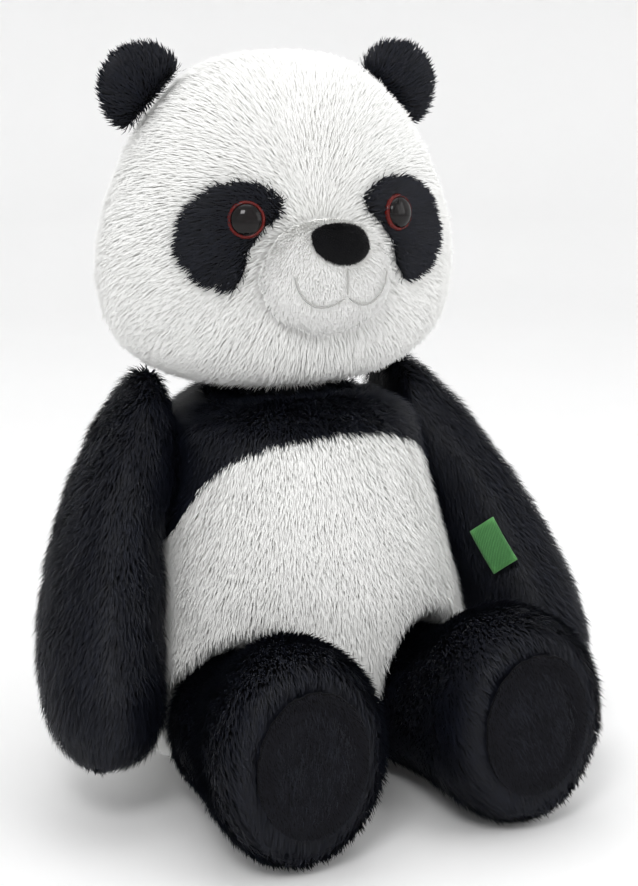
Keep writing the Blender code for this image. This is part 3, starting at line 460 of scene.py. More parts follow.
def pile_tree():
    """The node tree that turns a skin into a mesh of tufts."""
    tree = bpy.data.node_groups.new("Pile", "GeometryNodeTree")
    group_socket(tree, "Geometry", "NodeSocketGeometry")
    group_socket(tree, "Spacing", "NodeSocketFloat", 0.001)
    group_socket(tree, "Length", "NodeSocketFloat", 0.010)
    group_socket(tree, "Width", "NodeSocketFloat", 0.0012)
    group_socket(tree, "Stand", "NodeSocketFloat", 0.7)
    group_socket(tree, "Comb", "NodeSocketVector", (0.0, 0.0, -1.0))
    group_socket(tree, "Parting", "NodeSocketVector", (0.0, 0.0, 0.0))
    group_socket(tree, "Away", "NodeSocketFloat", 0.0)
    group_socket(tree, "Disorder", "NodeSocketFloat", 0.3)
    group_socket(tree, "Seed", "NodeSocketInt", 1)
    group_socket(tree, "Geometry", "NodeSocketGeometry", out=True)
    inside = tree.nodes.new("NodeGroupInput")
    outside = tree.nodes.new("NodeGroupOutput")

    scatter = tree.nodes.new("GeometryNodeDistributePointsOnFaces")
    scatter.distribute_method = "POISSON"
    link(tree, inside.outputs["Geometry"], scatter.inputs["Mesh"])
    link(tree, inside.outputs["Spacing"], scatter.inputs["Distance Min"])
    link(tree, inside.outputs["Seed"], scatter.inputs["Seed"])
    scatter.inputs["Density Max"].default_value = MOST_TUFTS
    normal = scatter.outputs["Normal"]

    spot = tree.nodes.new("GeometryNodeInputPosition").outputs["Position"]
    from_parting = vector_step(tree, "SUBTRACT", spot, inside.outputs["Parting"])
    outward = vector_step(tree, "NORMALIZE", from_parting)
    pushed = vector_step(tree, "SCALE", outward, inside.outputs["Away"])
    comb = vector_step(tree, "ADD", inside.outputs["Comb"], pushed)
    rise = vector_step(tree, "DOT_PRODUCT", comb, normal)
    upright = vector_step(tree, "SCALE", normal, rise)
    flat = vector_step(tree, "NORMALIZE", vector_step(tree, "SUBTRACT", comb, upright))
    swirl = tree.nodes.new("ShaderNodeTexNoise")
    swirl.inputs["Scale"].default_value = SWIRL_SCALE
    swirl.inputs["Detail"].default_value = 1.0
    link(tree, spot, swirl.inputs["Vector"])
    centred = vector_step(tree, "SUBTRACT", swirl.outputs["Color"], (0.5, 0.5, 0.5))
    sway = vector_step(tree, "SCALE", centred, SWIRL_SWAY)
    jitter = random_step(tree, "FLOAT_VECTOR", (-1.0, -1.0, -1.0), (1.0, 1.0, 1.0), JITTER_SEED)
    both = vector_step(tree, "ADD", sway, jitter)
    mess = vector_step(tree, "SCALE", both, inside.outputs["Disorder"])
    lean = vector_step(tree, "ADD", vector_step(tree, "ADD", flat, mess),
                       vector_step(tree, "SCALE", normal, inside.outputs["Stand"]))
    grow = vector_step(tree, "NORMALIZE", lean)

    turn = tree.nodes.new("FunctionNodeAxesToRotation")
    turn.primary_axis = "Z"
    turn.secondary_axis = "Y"
    link(tree, grow, turn.inputs["Primary Axis"])
    link(tree, normal, turn.inputs["Secondary Axis"])

    size = random_step(tree, "FLOAT", SHORTEST, LONGEST, SIZE_SEED)
    long = tree.nodes.new("ShaderNodeMath")
    long.operation = "MULTIPLY"
    link(tree, inside.outputs["Length"], long.inputs[0])
    link(tree, size, long.inputs[1])
    scale = tree.nodes.new("ShaderNodeCombineXYZ")
    link(tree, inside.outputs["Width"], scale.inputs["X"])
    link(tree, long.outputs[0], scale.inputs["Y"])
    link(tree, long.outputs[0], scale.inputs["Z"])

    stored = scatter.outputs["Points"]
    tone = random_step(tree, "FLOAT", 0.0, 1.0, TONE_SEED)
    for name, kind, value in (("skin_normal", "FLOAT_VECTOR", normal), ("tone", "FLOAT", tone)):
        keep = tree.nodes.new("GeometryNodeStoreNamedAttribute")
        keep.data_type = kind
        keep.inputs["Name"].default_value = name
        link(tree, stored, keep.inputs["Geometry"])
        link(tree, value, keep.inputs["Value"])
        stored = keep.outputs["Geometry"]

    source = tree.nodes.new("GeometryNodeObjectInfo")
    source.inputs["Object"].default_value = TUFT
    place = tree.nodes.new("GeometryNodeInstanceOnPoints")
    link(tree, stored, place.inputs["Points"])
    link(tree, source.outputs["Geometry"], place.inputs["Instance"])
    link(tree, turn.outputs["Rotation"], place.inputs["Rotation"])
    link(tree, scale.outputs["Vector"], place.inputs["Scale"])
    real = tree.nodes.new("GeometryNodeRealizeInstances")
    link(tree, place.outputs["Instances"], real.inputs["Geometry"])
    link(tree, real.outputs["Geometry"], outside.inputs["Geometry"])
    return tree


PILE = pile_tree()
print("pile tree:", len(PILE.nodes), "nodes")

# %% [markdown]
# Each tuft must know which panel it belongs to, because neighbouring panels differ in colour and
# comb. The nearest panel of the frame decides, face by face, so the seams land where the frame
# has them.
# %% Find the panel of each face


def nearest_panel(points, panels):
    """Index of the nearest panel for each point."""
    best = np.full(len(points), np.inf)
    owner = np.zeros(len(points), int)
    for index, name in enumerate(panels):
        shape = bmesh.new()
        shape.from_mesh(NODES[name].data)
        tree = BVHTree.FromBMesh(shape)
        shape.free()
        reach = np.array([tree.find_nearest(Vector(point))[3] for point in points])
        closer = reach < best
        best[closer] = reach[closer]
        owner[closer] = index
    return owner


def face_middles(mesh):
    """The middle of each face, one row per face."""
    middles = np.zeros(len(mesh.polygons) * 3, np.float32)
    mesh.polygons.foreach_get("center", middles)
    return middles.reshape(-1, 3)


def region(skin, owner, index, name):
    """The faces of a skin that belong to one panel, as a new object."""
    shape = bmesh.new()
    shape.from_mesh(skin.data)
    shape.faces.ensure_lookup_table()
    others = [face for face, own in zip(shape.faces, owner) if own != index]
    bmesh.ops.delete(shape, geom=others, context="FACES")
    mesh = bpy.data.meshes.new(name)
    shape.to_mesh(mesh)
    shape.free()
    return linked(name, mesh)


# %% [markdown]
# Growing the pile means running the tree on a region and keeping the result as plain mesh. Two
# things are added afterwards. The shading normals lean towards the skin's own normal, which gives
# soft light over the whole form, and every tuft gets its own small cell in a texture map, so its
# colours can be stored.
# %% Grow pile on a region

SOFTNESS = 0.80
CELL_MARGIN = 0.1
CELL_SPAN = 0.8
FIRST_SEED = 11


def texture_cells(mesh, tufts):
    """Give each tuft its own cell in one square map."""
    per_tuft = len(mesh.loops) // tufts
    across = int(math.ceil(math.sqrt(tufts)))
    corners = np.zeros(len(mesh.loops), np.int32)
    mesh.loops.foreach_get("vertex_index", corners)
    along = np.zeros(len(TUFT.data.vertices))
    side = np.zeros(len(TUFT.data.vertices))
    for vert in TUFT.data.vertices:
        along[vert.index] = CELL_MARGIN + CELL_SPAN * vert.co.z
        side[vert.index] = 0.5 + CELL_SPAN * vert.co.x
    within = corners % len(TUFT.data.vertices)
    cell = np.arange(len(corners)) // per_tuft
    u = (cell % across + side[within]) / across
    v = (cell // across + along[within]) / across
    layer = mesh.uv_layers.new(name="OFBake")
    layer.data.foreach_set("uv", np.stack([u, v], axis=1).astype(np.float32).ravel())


def soft_normals(mesh, softness):
    """Mix each point's own normal with the skin's normal."""
    count = len(mesh.vertices)
    own = np.zeros(count * 3, np.float32)
    mesh.vertices.foreach_get("normal", own)
    own = own.reshape(-1, 3)
    skin = np.zeros(count * 3, np.float32)
    mesh.attributes["skin_normal"].data.foreach_get("vector", skin)
    skin = skin.reshape(-1, 3)
    skin /= np.maximum(np.linalg.norm(skin, axis=1, keepdims=True), TINY)
    facing = np.sign(np.sum(own * skin, axis=1, keepdims=True))
    mixed = skin * softness + own * np.where(facing == 0.0, 1.0, facing) * (1.0 - softness)
    mixed /= np.maximum(np.linalg.norm(mixed, axis=1, keepdims=True), TINY)
    mesh.normals_split_custom_set_from_vertices([tuple(row) for row in mixed])
    mesh.attributes.remove(mesh.attributes["skin_normal"])


def grow(name, base, finish, softness=SOFTNESS, **numbers):
    """Run the pile tree on a base mesh and keep the tufts as one piece."""
    piece = linked(name, base.data.copy())
    pile = piece.modifiers.new("pile", "NODES")
    pile.node_group = PILE
    for item in PILE.interface.items_tree:
        key = item.name.lower()
        if item.in_out == "INPUT" and key in numbers:
            pile[item.identifier] = numbers[key]
    with_modifiers_applied(piece)
    mesh = piece.data
    mesh.name = name
    tufts = len(mesh.vertices) // len(TUFT.data.vertices)
    mesh.shade_smooth()
    soft_normals(mesh, softness)
    texture_cells(mesh, tufts)
    mesh.materials.clear()
    mesh.materials.append(finish)
    mesh.polygons.foreach_set("material_index", [0] * len(mesh.polygons))
    print(name, "has", tufts, "tufts")
    return piece


def pile_name(node):
    """Name of the piece of pile that stands for a fur panel."""
    return node.replace("fur", "pile")


def grow_on_panels(skin, panels, body):
    """Grow every panel's pile on one skin. panels maps node to (finish, slot, numbers); slot is
    not used.
    """
    names = list(panels)
    owner = nearest_panel(face_middles(skin.data), names)
    for index, (node, (finish, slot, numbers)) in enumerate(panels.items()):
        base = region(skin, owner, index, node + "_base")
        pile = grow(pile_name(node), base, finish, seed=index + FIRST_SEED, **numbers)
        bpy.data.objects.remove(base)
        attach(pile, body)
        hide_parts(node)
    return owner


def settle_form(skin, body, node, finishes, owner=None, dark=()):
    """Ride, replace and finish a stuffed form. dark lists the panels with the second finish."""
    skin.data.materials.clear()
    for finish in finishes:
        skin.data.materials.append(finish)
    if owner is not None:
        shades = [1 if own in dark else 0 for own in owner]
        skin.data.polygons.foreach_set("material_index", shades)
    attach(skin, body)
    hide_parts(node)


# %% [markdown]
# The head is the widest form. Its white pile flows away from the muzzle, down over the cheeks and
# back over the crown, which is how such plush is usually brushed after sewing.
# %% Head

MUZZLE_LOW, MUZZLE_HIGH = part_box("muzzle_fur")
BEHIND_MUZZLE = Vector((0.0, 0.03, 0.0))
FACE_MIDDLE = tuple((MUZZLE_LOW + MUZZLE_HIGH) / 2 + BEHIND_MUZZLE)
HEAD_PANELS = ["face_fur_left", "face_fur_right", "head_back_fur_left", "head_back_fur_right"]
HEAD_FUR = dict(spacing=0.00088, length=0.0110, width=0.0010, stand=0.60, disorder=0.20,
                comb=(0.0, 0.0, -0.55), parting=FACE_MIDDLE, away=1.0)

head_form = puffed(even_skin("head_form", ["head_stuffing"] + HEAD_PANELS, PILE_DEPTH))
head_piles = {node: (WHITE_PILE, "white_fur", HEAD_FUR) for node in HEAD_PANELS}
grow_on_panels(head_form, head_piles, "head")
settle_form(head_form, "head", "head_stuffing", [WHITE_BACKING])

# %% [markdown]
# The torso carries two colours: a black yoke over chest and shoulders, and white below. Both lie
# on the same stuffed form, so the skin under them is coloured per panel as well.
# %% Torso

DOWN = (0.0, 0.0, -1.0)
YOKE_FUR = dict(spacing=0.00100, length=0.0110, width=0.0012, stand=0.60, disorder=0.26,
                comb=DOWN)
BELLY_FUR = dict(spacing=0.00090, length=0.0105, width=0.0010, stand=0.60, disorder=0.22,
                 comb=DOWN)
SEAT_FUR = dict(spacing=0.0018, length=0.0050, width=0.0014, stand=1.0, disorder=0.3,
                comb=(0.0, 1.0, 0.0))
TORSO_PANELS = {
    "yoke_front_fur": (BLACK_PILE, "black_fur", YOKE_FUR),
    "yoke_back_fur": (BLACK_PILE, "black_fur", YOKE_FUR),
    "belly_fur_left": (WHITE_PILE, "white_fur", BELLY_FUR),
    "belly_fur_right": (WHITE_PILE, "white_fur", BELLY_FUR),
    "back_fur_left": (WHITE_PILE, "white_fur", BELLY_FUR),
    "back_fur_right": (WHITE_PILE, "white_fur", BELLY_FUR),
    "seat_panel": (WHITE_PILE, "white_fur", SEAT_FUR),
}
torso_form = puffed(even_skin("torso_form", ["torso_stuffing"] + list(TORSO_PANELS), PILE_DEPTH))
YOKE_PANELS = (0, 1)
torso_owner = grow_on_panels(torso_form, TORSO_PANELS, "torso")
settle_form(torso_form, "torso", "torso_stuffing", [WHITE_BACKING, BLACK_BACKING],
            torso_owner, YOKE_PANELS)

# %% [markdown]
# The tail is a small stuffed ball at the back, with the same white pile.
# %% Tail

tail_form = puffed(even_skin("tail_form", ["tail_fur"], PILE_DEPTH, voxel=0.003))
tail_pile = grow("tail_pile", tail_form, WHITE_PILE, seed=5, **BELLY_FUR)
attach(tail_pile, "torso")
settle_form(tail_form, "torso", "tail_fur", [WHITE_BACKING])

# %% [markdown]
# The arms hang forward over the legs, and their black pile is combed towards the paws. The left
# form is made and puffed once, then mirrored.
# %% Arms

ARM_FUR = dict(spacing=0.00100, length=0.0110, width=0.0012, stand=0.58, disorder=0.28)


def limb(kind, side, form, core, panels, comb, numbers):
    """Grow a limb's pile and settle its form."""
    chosen = {}
    for panel in panels:
        chosen[panel + side] = (BLACK_PILE, "black_fur", dict(numbers, comb=comb))
    body = kind + "_" + side
    grow_on_panels(form, chosen, body)
    settle_form(form, body, core + side, [BLACK_BACKING])


ARM_PANELS = ["arm_outer_fur_", "arm_inner_fur_"]
ARM_DEPTH = 0.0030
SHOULDER_START = 0.205
SHOULDER_LIFT = 0.011


def lifted_shoulder(form):
    """Raise the top of an arm a little, so it tucks in under the cheek."""
    top = max(vert.co.z for vert in form.data.vertices)
    for vert in form.data.vertices:
        share = max(0.0, (vert.co.z - SHOULDER_START) / (top - SHOULDER_START))
        vert.co.z += SHOULDER_LIFT * share ** 2
    return form


arm_nodes = ["arm_stuffing_left"] + [panel + "left" for panel in ARM_PANELS]
arm_skin = even_skin("arm_form_left", arm_nodes, ARM_DEPTH, voxel=0.004, smoothing=1)
arm_form_left = puffed(lifted_shoulder(arm_skin))
arm_form_right = mirrored(arm_form_left, "arm_form_right")
limb("arm", "left", arm_form_left, "arm_stuffing_", ARM_PANELS, (0.35, -0.45, -1.0), ARM_FUR)
limb("arm", "right", arm_form_right, "arm_stuffing_", ARM_PANELS, (-0.35, -0.45, -1.0), ARM_FUR)

# %% [markdown]
# The legs stick out in front. Their pile runs from the hip to the foot, and a short pile sole
# closes each foot.
# %% Legs

LEG_FUR = dict(spacing=0.00100, length=0.0110, width=0.0012, stand=0.62, disorder=0.28)
LEG_PANELS = ["leg_upper_fur_", "leg_lower_fur_"]
leg_nodes = ["leg_stuffing_left"] + [panel + "left" for panel in LEG_PANELS]
leg_form_left = puffed(even_skin("leg_form_left", leg_nodes, PILE_DEPTH))
leg_form_right = mirrored(leg_form_left, "leg_form_right")
limb("leg", "left", leg_form_left, "leg_stuffing_", LEG_PANELS, (0.15, -0.8, -0.45), LEG_FUR)
limb("leg", "right", leg_form_right, "leg_stuffing_", LEG_PANELS, (-0.15, -0.8, -0.45), LEG_FUR)

# %% [markdown]
# A sole is a flat cushioned disc of short pile. Its base is the frame's solid remeshed into an
# even skin, smoothed and drawn in a little, and it grows a dense, almost upright pile.
# %% Soles

SOLE_FUR = dict(spacing=0.00085, length=0.0034, width=0.0010, stand=1.5, disorder=0.40,
                comb=DOWN, seed=31)


def short_pile_piece(node, new_name, finish, body, numbers, voxel=0.002, draw_in=0.0008):
    """A thin black sewn piece: an even skin of its own with short pile on it."""
    base = even_skin(new_name + "_base", [node], draw_in, voxel, 2)
    base.data.shade_smooth()
    base.data.materials.clear()
    base.data.materials.append(BLACK_BACKING)
    pile = grow(new_name, base, finish, **numbers)
    for piece in (base, pile):
        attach(piece, body)
    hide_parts(node)


for side in ("left", "right"):
    short_pile_piece("foot_sole_" + side, "sole_pile_" + side, SOLE_PILE,
                     "leg_" + side, SOLE_FUR)

# %% [markdown]
# The muzzle is a dome of short white pile over its own filling. The nose is flocked, which is
# pile too, only much shorter and denser.
# %% Muzzle and nose

MUZZLE_FUR = dict(spacing=0.00080, length=0.0042, width=0.0010, stand=1.1, disorder=0.35,
                  comb=(0.0, 0.0, -0.4), parting=FACE_MIDDLE, away=0.6)
muzzle_skin = even_skin("muzzle_form", ["muzzle_fur", "muzzle_stuffing"], 0.0022, voxel=0.003)
muzzle_form = puffed(muzzle_skin, most=0.001)
muzzle_pile = grow("muzzle_pile", muzzle_form, MUZZLE_PILE, seed=7, **MUZZLE_FUR)
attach(muzzle_pile, "head")
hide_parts("muzzle_fur")
settle_form(muzzle_form, "head", "muzzle_stuffing", [WHITE_BACKING])

FLOCK = dict(spacing=0.00042, length=0.0012, width=0.0005, stand=2.0, disorder=0.5,
             comb=DOWN, seed=8)
short_pile_piece("nose", "nose_flock", NOSE_FLOCK, "head", FLOCK,
                 voxel=0.0012, draw_in=0.0003)

# %% [markdown]
# The eye patches are pieces of the black pile set into the face. The ears are two panels sewn
# together and turned, so each is one thin form with pile on both sides.
# %% Patches and ears

PATCH_FUR = dict(spacing=0.00095, length=0.0070, width=0.0011, stand=0.95, disorder=0.26,
                 comb=(0.0, 0.0, -0.5), parting=FACE_MIDDLE, away=1.0, seed=41)
EAR_FUR = dict(spacing=0.00105, length=0.0085, width=0.0013, stand=0.75, disorder=0.28,
               comb=(0.0, 0.0, 0.0), away=1.0)
for side, sign in (("left", 1.0), ("right", -1.0)):
    short_pile_piece("eye_patch_" + side, "patch_pile_" + side, BLACK_PILE,
                     "head", PATCH_FUR, voxel=0.0015, draw_in=0.0)
    ear_nodes = ["ear_front_fur_" + side, "ear_back_fur_" + side]
    ear_skin = even_skin("ear_form_" + side, ear_nodes, 0.0035, voxel=0.003, smoothing=2)
    ear_form = puffed(ear_skin, most=0.0015)
    low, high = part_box(ear_nodes[0])
    ear_foot = (sign * min(abs(low.x), abs(high.x)), (low.y + high.y) / 2, low.z)
    numbers = dict(EAR_FUR, parting=ear_foot)
    ear_panels = {node: (BLACK_PILE, "black_fur", numbers) for node in ear_nodes}
    grow_on_panels(ear_form, ear_panels, "ear_" + side)
    ear_form.data.materials.clear()
    ear_form.data.materials.append(BLACK_BACKING)
    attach(ear_form, "ear_" + side)

# %% [markdown]
# A safety eye is one moulded button: a polished dark dome with a flat collar. It is turned here
# from a half profile with the spin operator, then set on the seat that the frame gives. Around it
# sits a thin dark red ring. Both are very smooth, and a low specular level keeps the dome dark.
# %% Eyes


def plastic_finish(name, dark, light, **values):
    """Glossy plastic whose colour drifts a little, with faint handling marks in its roughness."""
    made, shader = finish_of(name, 0.08, **values)
    tree = made.node_tree
    node = tree.nodes.new("ShaderNodeGroup")
    node.node_tree = FINE_GRAIN
    node.inputs["Dark"].default_value = (*dark, 1.0)
    node.inputs["Light"].default_value = (*light, 1.0)
    node.inputs["Grain Size"].default_value = 160.0
    spread = tree.nodes.new("ShaderNodeMapRange")
    spread.inputs["To Min"].default_value = 0.03
    spread.inputs["To Max"].default_value = 0.10
    tree.links.new(node.outputs["Color"], shader.inputs["Base Color"])
    tree.links.new(node.outputs["Height"], spread.inputs["Value"])
    tree.links.new(spread.outputs["Result"], shader.inputs["Roughness"])
    return made


EYE_PLASTIC = plastic_finish("eye plastic", dark=(0.002, 0.0015, 0.0015),
                             light=(0.006, 0.004, 0.004), Specular_IOR_Level=0.25)
IRIS_PLASTIC = plastic_finish("iris plastic", dark=(0.075, 0.004, 0.003),
                              light=(0.120, 0.008, 0.006), Specular_IOR_Level=0.25)


def turned(name, profile, place, steps=48):
    """Spin a half profile of (radius, height) once round and set it in place."""
    shape = bmesh.new()
    verts = [shape.verts.new((radius, 0.0, height)) for radius, height in profile]
    edges = [shape.edges.new(pair) for pair in zip(verts, verts[1:])]
    bmesh.ops.spin(shape, geom=verts + edges, cent=(0.0, 0.0, 0.0), axis=(0.0, 0.0, 1.0),
                   angle=2.0 * math.pi, steps=steps, use_merge=True)
    bmesh.ops.remove_doubles(shape, verts=shape.verts, dist=0.00001)
    bmesh.ops.recalc_face_normals(shape, faces=shape.faces)
    bmesh.ops.transform(shape, matrix=place, verts=shape.verts)
    mesh = bpy.data.meshes.new(name)
    shape.to_mesh(mesh)
    shape.free()
    mesh.shade_smooth()
    return linked(name, mesh)


RING_RADIUS = 0.0120
RING_WIDTH = 0.0022
RING_HEIGHT = 0.0024
DOME_HEIGHT = 0.0066
COLLAR_HEIGHT = 0.0018
SUNK = 0.0006
ARC_STEPS = 12


def dome_profile():
    """Collar, then a quarter arc up to the crown of the dome."""
    radius = RING_RADIUS - RING_WIDTH + 0.0004
    rim = [(0.0, -SUNK), (radius * 0.95, -SUNK), (radius, 0.0), (radius, COLLAR_HEIGHT)]
    arc = []
    for step in range(1, ARC_STEPS + 1):
        turn = math.radians(90.0) * step / ARC_STEPS
        height = COLLAR_HEIGHT + (DOME_HEIGHT - COLLAR_HEIGHT) * math.sin(turn)
        arc.append((radius * math.cos(turn), height))
    arc[-1] = (0.0, DOME_HEIGHT)
    return rim + arc


def ring_profile():
    """Closed small section of the ring, softly rounded outside."""
    inner = RING_RADIUS - RING_WIDTH + 0.0002
    points = [(inner, -0.0004), (RING_RADIUS, -0.0004), (RING_RADIUS + 0.0002, 0.0008),
              (RING_RADIUS - 0.0003, 0.0018), (RING_RADIUS - 0.0010, RING_HEIGHT),
              (inner, RING_HEIGHT)]
    return points + points[:1]


def eye_place(side):
    """Seat and outward direction of an eye, from the two ends of its button in the frame."""
    points = np.array([vert.co for vert in NODES["eye_button_" + side].data.vertices])
    ring = np.array([vert.co for vert in NODES["eye_ring_" + side].data.vertices])
    middle = ring.mean(axis=0)
    tail = points[np.argmax(np.linalg.norm(points - middle, axis=1))]
    outward = Vector(middle - tail).normalized()
    return Vector(middle), outward


for side in ("left", "right"):
    seat, outward = eye_place(side)
    place = Matrix.Translation(seat) @ outward.to_track_quat("Z", "Y").to_matrix().to_4x4()
    for name, node, profile, finish, slot in (
            ("eye_dome_", "eye_button_", dome_profile(), EYE_PLASTIC, "eye_plastic"),
            ("eye_rim_", "eye_ring_", ring_profile(), IRIS_PLASTIC, "iris_plastic")):
        piece = turned(name + side, profile, place)
        piece.data.materials.append(finish)
        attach(piece, "head")
        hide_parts(node + side)
    print("eye", side, "at", [round(c, 4) for c in seat])

# %% [markdown]
# The mouth is sewn with one thin grey thread. The frame already has its path, so a copy is
# rounded with a subdivision, and a fine grain stands for the twist.
# %% Mouth threads

THREAD_LEVELS = 2


def rounded_copy(name, node, finish, body):
    """A subdivided copy of a node that stands for it."""
    piece = joined_copy(name, [node])
    rounder = piece.modifiers.new("round", "SUBSURF")
    rounder.levels = THREAD_LEVELS
    rounder.render_levels = THREAD_LEVELS
    with_modifiers_applied(piece)
    piece.data.shade_smooth()
    piece.data.materials.clear()
    piece.data.materials.append(finish)
    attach(piece, body)
    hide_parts(node)


for part in ("upright", "left", "right"):
    rounded_copy("mouth_stitch_" + part, "mouth_thread_" + part, THREAD, "head")

# %% [markdown]
# A small woven tab is caught in the arm seam. It is a flat ribbon, so its finish does the work: a
# fine over and under weave in two greens, with a lighter woven border. It carries no words.
# %% Woven tab

WEAVE_SCALE = 420.0
WEAVE_DARK = (0.030, 0.150, 0.035, 1.0)
WEAVE_LIGHT = (0.080, 0.330, 0.070, 1.0)
WEAVE_BORDER = (0.110, 0.400, 0.100, 1.0)


def weave_finish():
    """Green cloth: two crossed wave patterns, with a lighter border."""
    made, shader = finish_of("woven green", 0.6, Sheen_Weight=0.2)
    tree = made.node_tree
    place = tree.nodes.new("ShaderNodeTexCoord")
    waves = []
    for direction in ("X", "Z"):
        wave = tree.nodes.new("ShaderNodeTexWave")
        wave.bands_direction = direction
        wave.inputs["Scale"].default_value = WEAVE_SCALE
        tree.links.new(place.outputs["Object"], wave.inputs["Vector"])
        waves.append(wave.outputs["Fac"])
    cross = tree.nodes.new("ShaderNodeMath")
    cross.operation = "MULTIPLY"
    tree.links.new(waves[0], cross.inputs[0])
    tree.links.new(waves[1], cross.inputs[1])
    border = tree.nodes.new("ShaderNodeAttribute")
    border.attribute_name = "border"
    cloth = mix_colours(tree, cross.outputs[0], WEAVE_DARK, WEAVE_LIGHT)
    edged = mix_colours(tree, border.outputs["Fac"], cloth, WEAVE_BORDER)
    raised = tree.nodes.new("ShaderNodeBump")
    raised.inputs["Distance"].default_value = 0.0002
    tree.links.new(cross.outputs[0], raised.inputs["Height"])
    tree.links.new(edged, shader.inputs["Base Color"])
    tree.links.new(raised.outputs["Normal"], shader.inputs["Normal"])
    return made


TAB_STANDS_OFF = 0.0040
TAB_CROWN = 0.0016
TAB_CUTS = 9
BORDER_START = 0.72


def woven_tab():
    """The frame's tab, cut into a grid, crowned a little and set on top of the pile."""
    piece = joined_copy("green_tab", ["woven_tab"])
    shape = bmesh.new()
    shape.from_mesh(piece.data)
    bmesh.ops.dissolve_limit(shape, angle_limit=0.02, verts=shape.verts, edges=shape.edges)
    bmesh.ops.subdivide_edges(shape, edges=shape.edges, cuts=TAB_CUTS, use_grid_fill=True)
    middle = sum((vert.co for vert in shape.verts), Vector()) / len(shape.verts)
    reach = max((vert.co - middle).length for vert in shape.verts)
    flat = max(shape.faces, key=lambda face: face.calc_area()).normal.copy()
    low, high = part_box("arm_stuffing_left")
    if flat.dot(middle - (low + high) / 2) < 0.0:
        flat.negate()
    rims = {}
    for vert in shape.verts:
        away = (vert.co - middle).length / reach
        vert.co += flat * (TAB_STANDS_OFF - TAB_CROWN * away ** 2)
        rims[vert.index] = max(0.0, (away - BORDER_START) / (1.0 - BORDER_START))
    shape.to_mesh(piece.data)
    shape.free()
    piece.data.shade_smooth()
    border = piece.data.attributes.new("border", "FLOAT", "POINT")
    border.data.foreach_set("value", [rims[vert.index] for vert in piece.data.vertices])
    piece.data.materials.clear()
    piece.data.materials.append(weave_finish())
    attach(piece, "arm_left")
    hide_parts("woven_tab")
    return piece


tab = woven_tab()
print("tab:", len(tab.data.polygons), "faces")

# %% [markdown]
# Under the chin the neck shows only as a dark line. It is a small stuffed ball in the same black
# pile as the yoke; its black is painted shade in the gap under the chin, so no pale gap opens
# when the head nods.
# %% Neck

# The black of this pile is painted shade in the gap under the chin.
NECK_FUR = dict(spacing=0.0012, length=0.0120, width=0.0014, stand=1.1, disorder=0.4,
                comb=DOWN, seed=51)
neck_form = even_skin("neck_form", ["neck_stuffing"], draw_in=0.0, voxel=0.004)
neck_form.data.shade_smooth()
neck_pile = grow("neck_pile", neck_form, BLACK_PILE, **NECK_FUR)
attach(neck_pile, "neck")
settle_form(neck_form, "neck", "neck_stuffing", [BLACK_BACKING])

# %% [markdown]
# What stays from the frame unchanged is hidden inside: the lock washers behind the eyes. They
# still get their own finish.
# %% Inner pieces

for side in ("left", "right"):
    washer = NODES["eye_washer_" + side].data
    washer.materials.clear()
    washer.materials.append(WASHER_PLASTIC)
    print("inner: eye washer", side)

# %% [markdown]
# The floor is pale and round, and its rim sweeps up on every side. A large soft key light from
# the front and left, a weaker fill from the right and a light from above keep the white fur
# bright and the black fur readable.
# %% Floor and light

FLOOR_RADIUS = 2.2
RIM_STEPS = ((0.10, 1.20), (0.45, 1.15), (1.60, 1.08), (3.00, 1.02))
FLOOR_FINISH = grain_finish("pale floor", dark=(0.94, 0.94, 0.94), light=(0.96, 0.96, 0.96),
                            grain_size=4.0, bump=0.0, roughness=0.9)
WORLD_WHITE = (1.0, 1.0, 1.0, 1.0)
WORLD_STRENGTH = 1.05

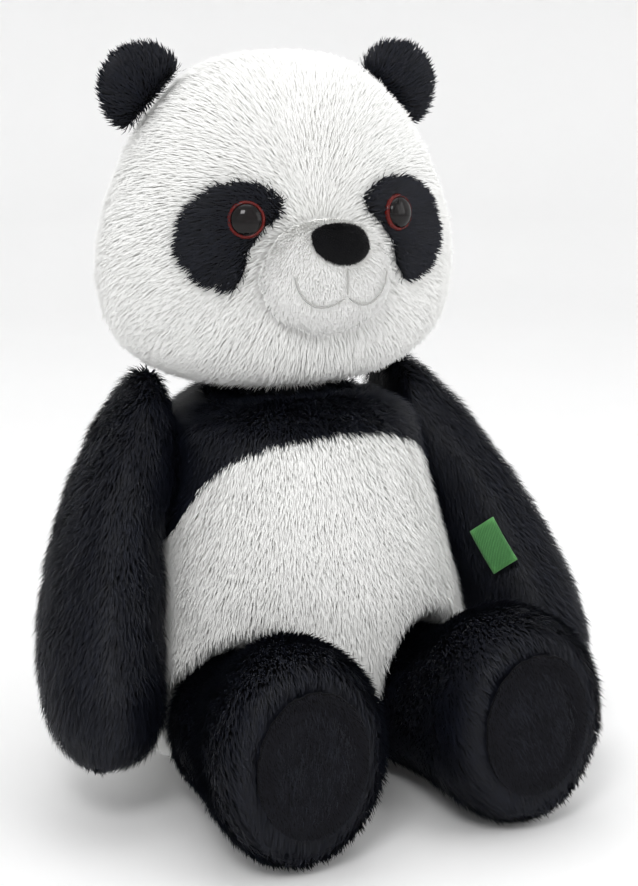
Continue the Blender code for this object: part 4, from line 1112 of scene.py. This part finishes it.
bpy.data.objects.remove(TUFT)
floor_shape = bmesh.new()
bmesh.ops.create_circle(floor_shape, cap_ends=True, segments=96, radius=FLOOR_RADIUS)
for rise, spread in RIM_STEPS:
    rim = [edge for edge in floor_shape.edges if edge.is_boundary]
    grown = bmesh.ops.extrude_edge_only(floor_shape, edges=rim)
    points = [item for item in grown["geom"] if isinstance(item, bmesh.types.BMVert)]
    bmesh.ops.scale(floor_shape, vec=(spread, spread, 1.0), verts=points)
    bmesh.ops.translate(floor_shape, vec=(0.0, 0.0, rise), verts=points)
floor_mesh = bpy.data.meshes.new("floor")
floor_shape.to_mesh(floor_mesh)
floor_shape.free()
floor_mesh.shade_smooth()
floor = linked("floor", floor_mesh)
floor.data.materials.append(FLOOR_FINISH)
floor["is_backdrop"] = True
bpy.context.scene.view_settings.view_transform = "Standard"

world = bpy.data.worlds.new("studio")
world.use_nodes = True
background = world.node_tree.nodes["Background"]
background.inputs["Color"].default_value = WORLD_WHITE
background.inputs["Strength"].default_value = WORLD_STRENGTH
bpy.context.scene.world = world


def soft_light(name, spot, aim, size, power):
    """A square area light at a spot, turned to its aim."""
    lamp = bpy.data.lights.new(name, "AREA")
    lamp.size = size
    lamp.energy = power
    made = bpy.data.objects.new(name, lamp)
    bpy.context.scene.collection.objects.link(made)
    made.location = spot
    made.rotation_euler = (Vector(aim) - Vector(spot)).to_track_quat("-Z", "Y").to_euler()


CENTRE = (FRAME_LOW + FRAME_HIGH) / 2
soft_light("key", (-0.9, -1.3, 1.6), CENTRE, size=0.55, power=13.0)
soft_light("fill", (1.3, -1.1, 0.9), CENTRE, size=1.1, power=5.0)
soft_light("top", (0.1, 0.2, 1.9), CENTRE, size=1.1, power=5.0)

# %% [markdown]
# The camera stands a little to the toy's right and slightly above, and looks at its middle.
# %% Camera

CAMERA_TURN = math.radians(-25.0)
CAMERA_RISE = math.radians(13.0)
CAMERA_AWAY = 1.235
LOOK_AT = Vector((0.0, -0.018, 0.231))
SENSOR_WIDTH = 36.0
FOCAL_LENGTH = 75.45

lens = bpy.data.cameras.new("camera")
lens.sensor_width = SENSOR_WIDTH
lens.lens = FOCAL_LENGTH
camera = bpy.data.objects.new("camera", lens)
bpy.context.scene.collection.objects.link(camera)
level = math.cos(CAMERA_RISE)
back = Vector((math.sin(CAMERA_TURN) * level, -math.cos(CAMERA_TURN) * level,
               math.sin(CAMERA_RISE)))
camera.location = LOOK_AT + back * CAMERA_AWAY
camera.rotation_euler = (-back).to_track_quat("-Z", "Y").to_euler()
bpy.context.scene.camera = camera

# %% [markdown]
# Last comes the box of the finished toy; the frame's box was taken at the start. The pile may
# stand only a little proud of the frame.
# %% Sizes and finish

low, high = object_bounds()
print("visual box:", [round(c, 4) for c in low], [round(c, 4) for c in high])
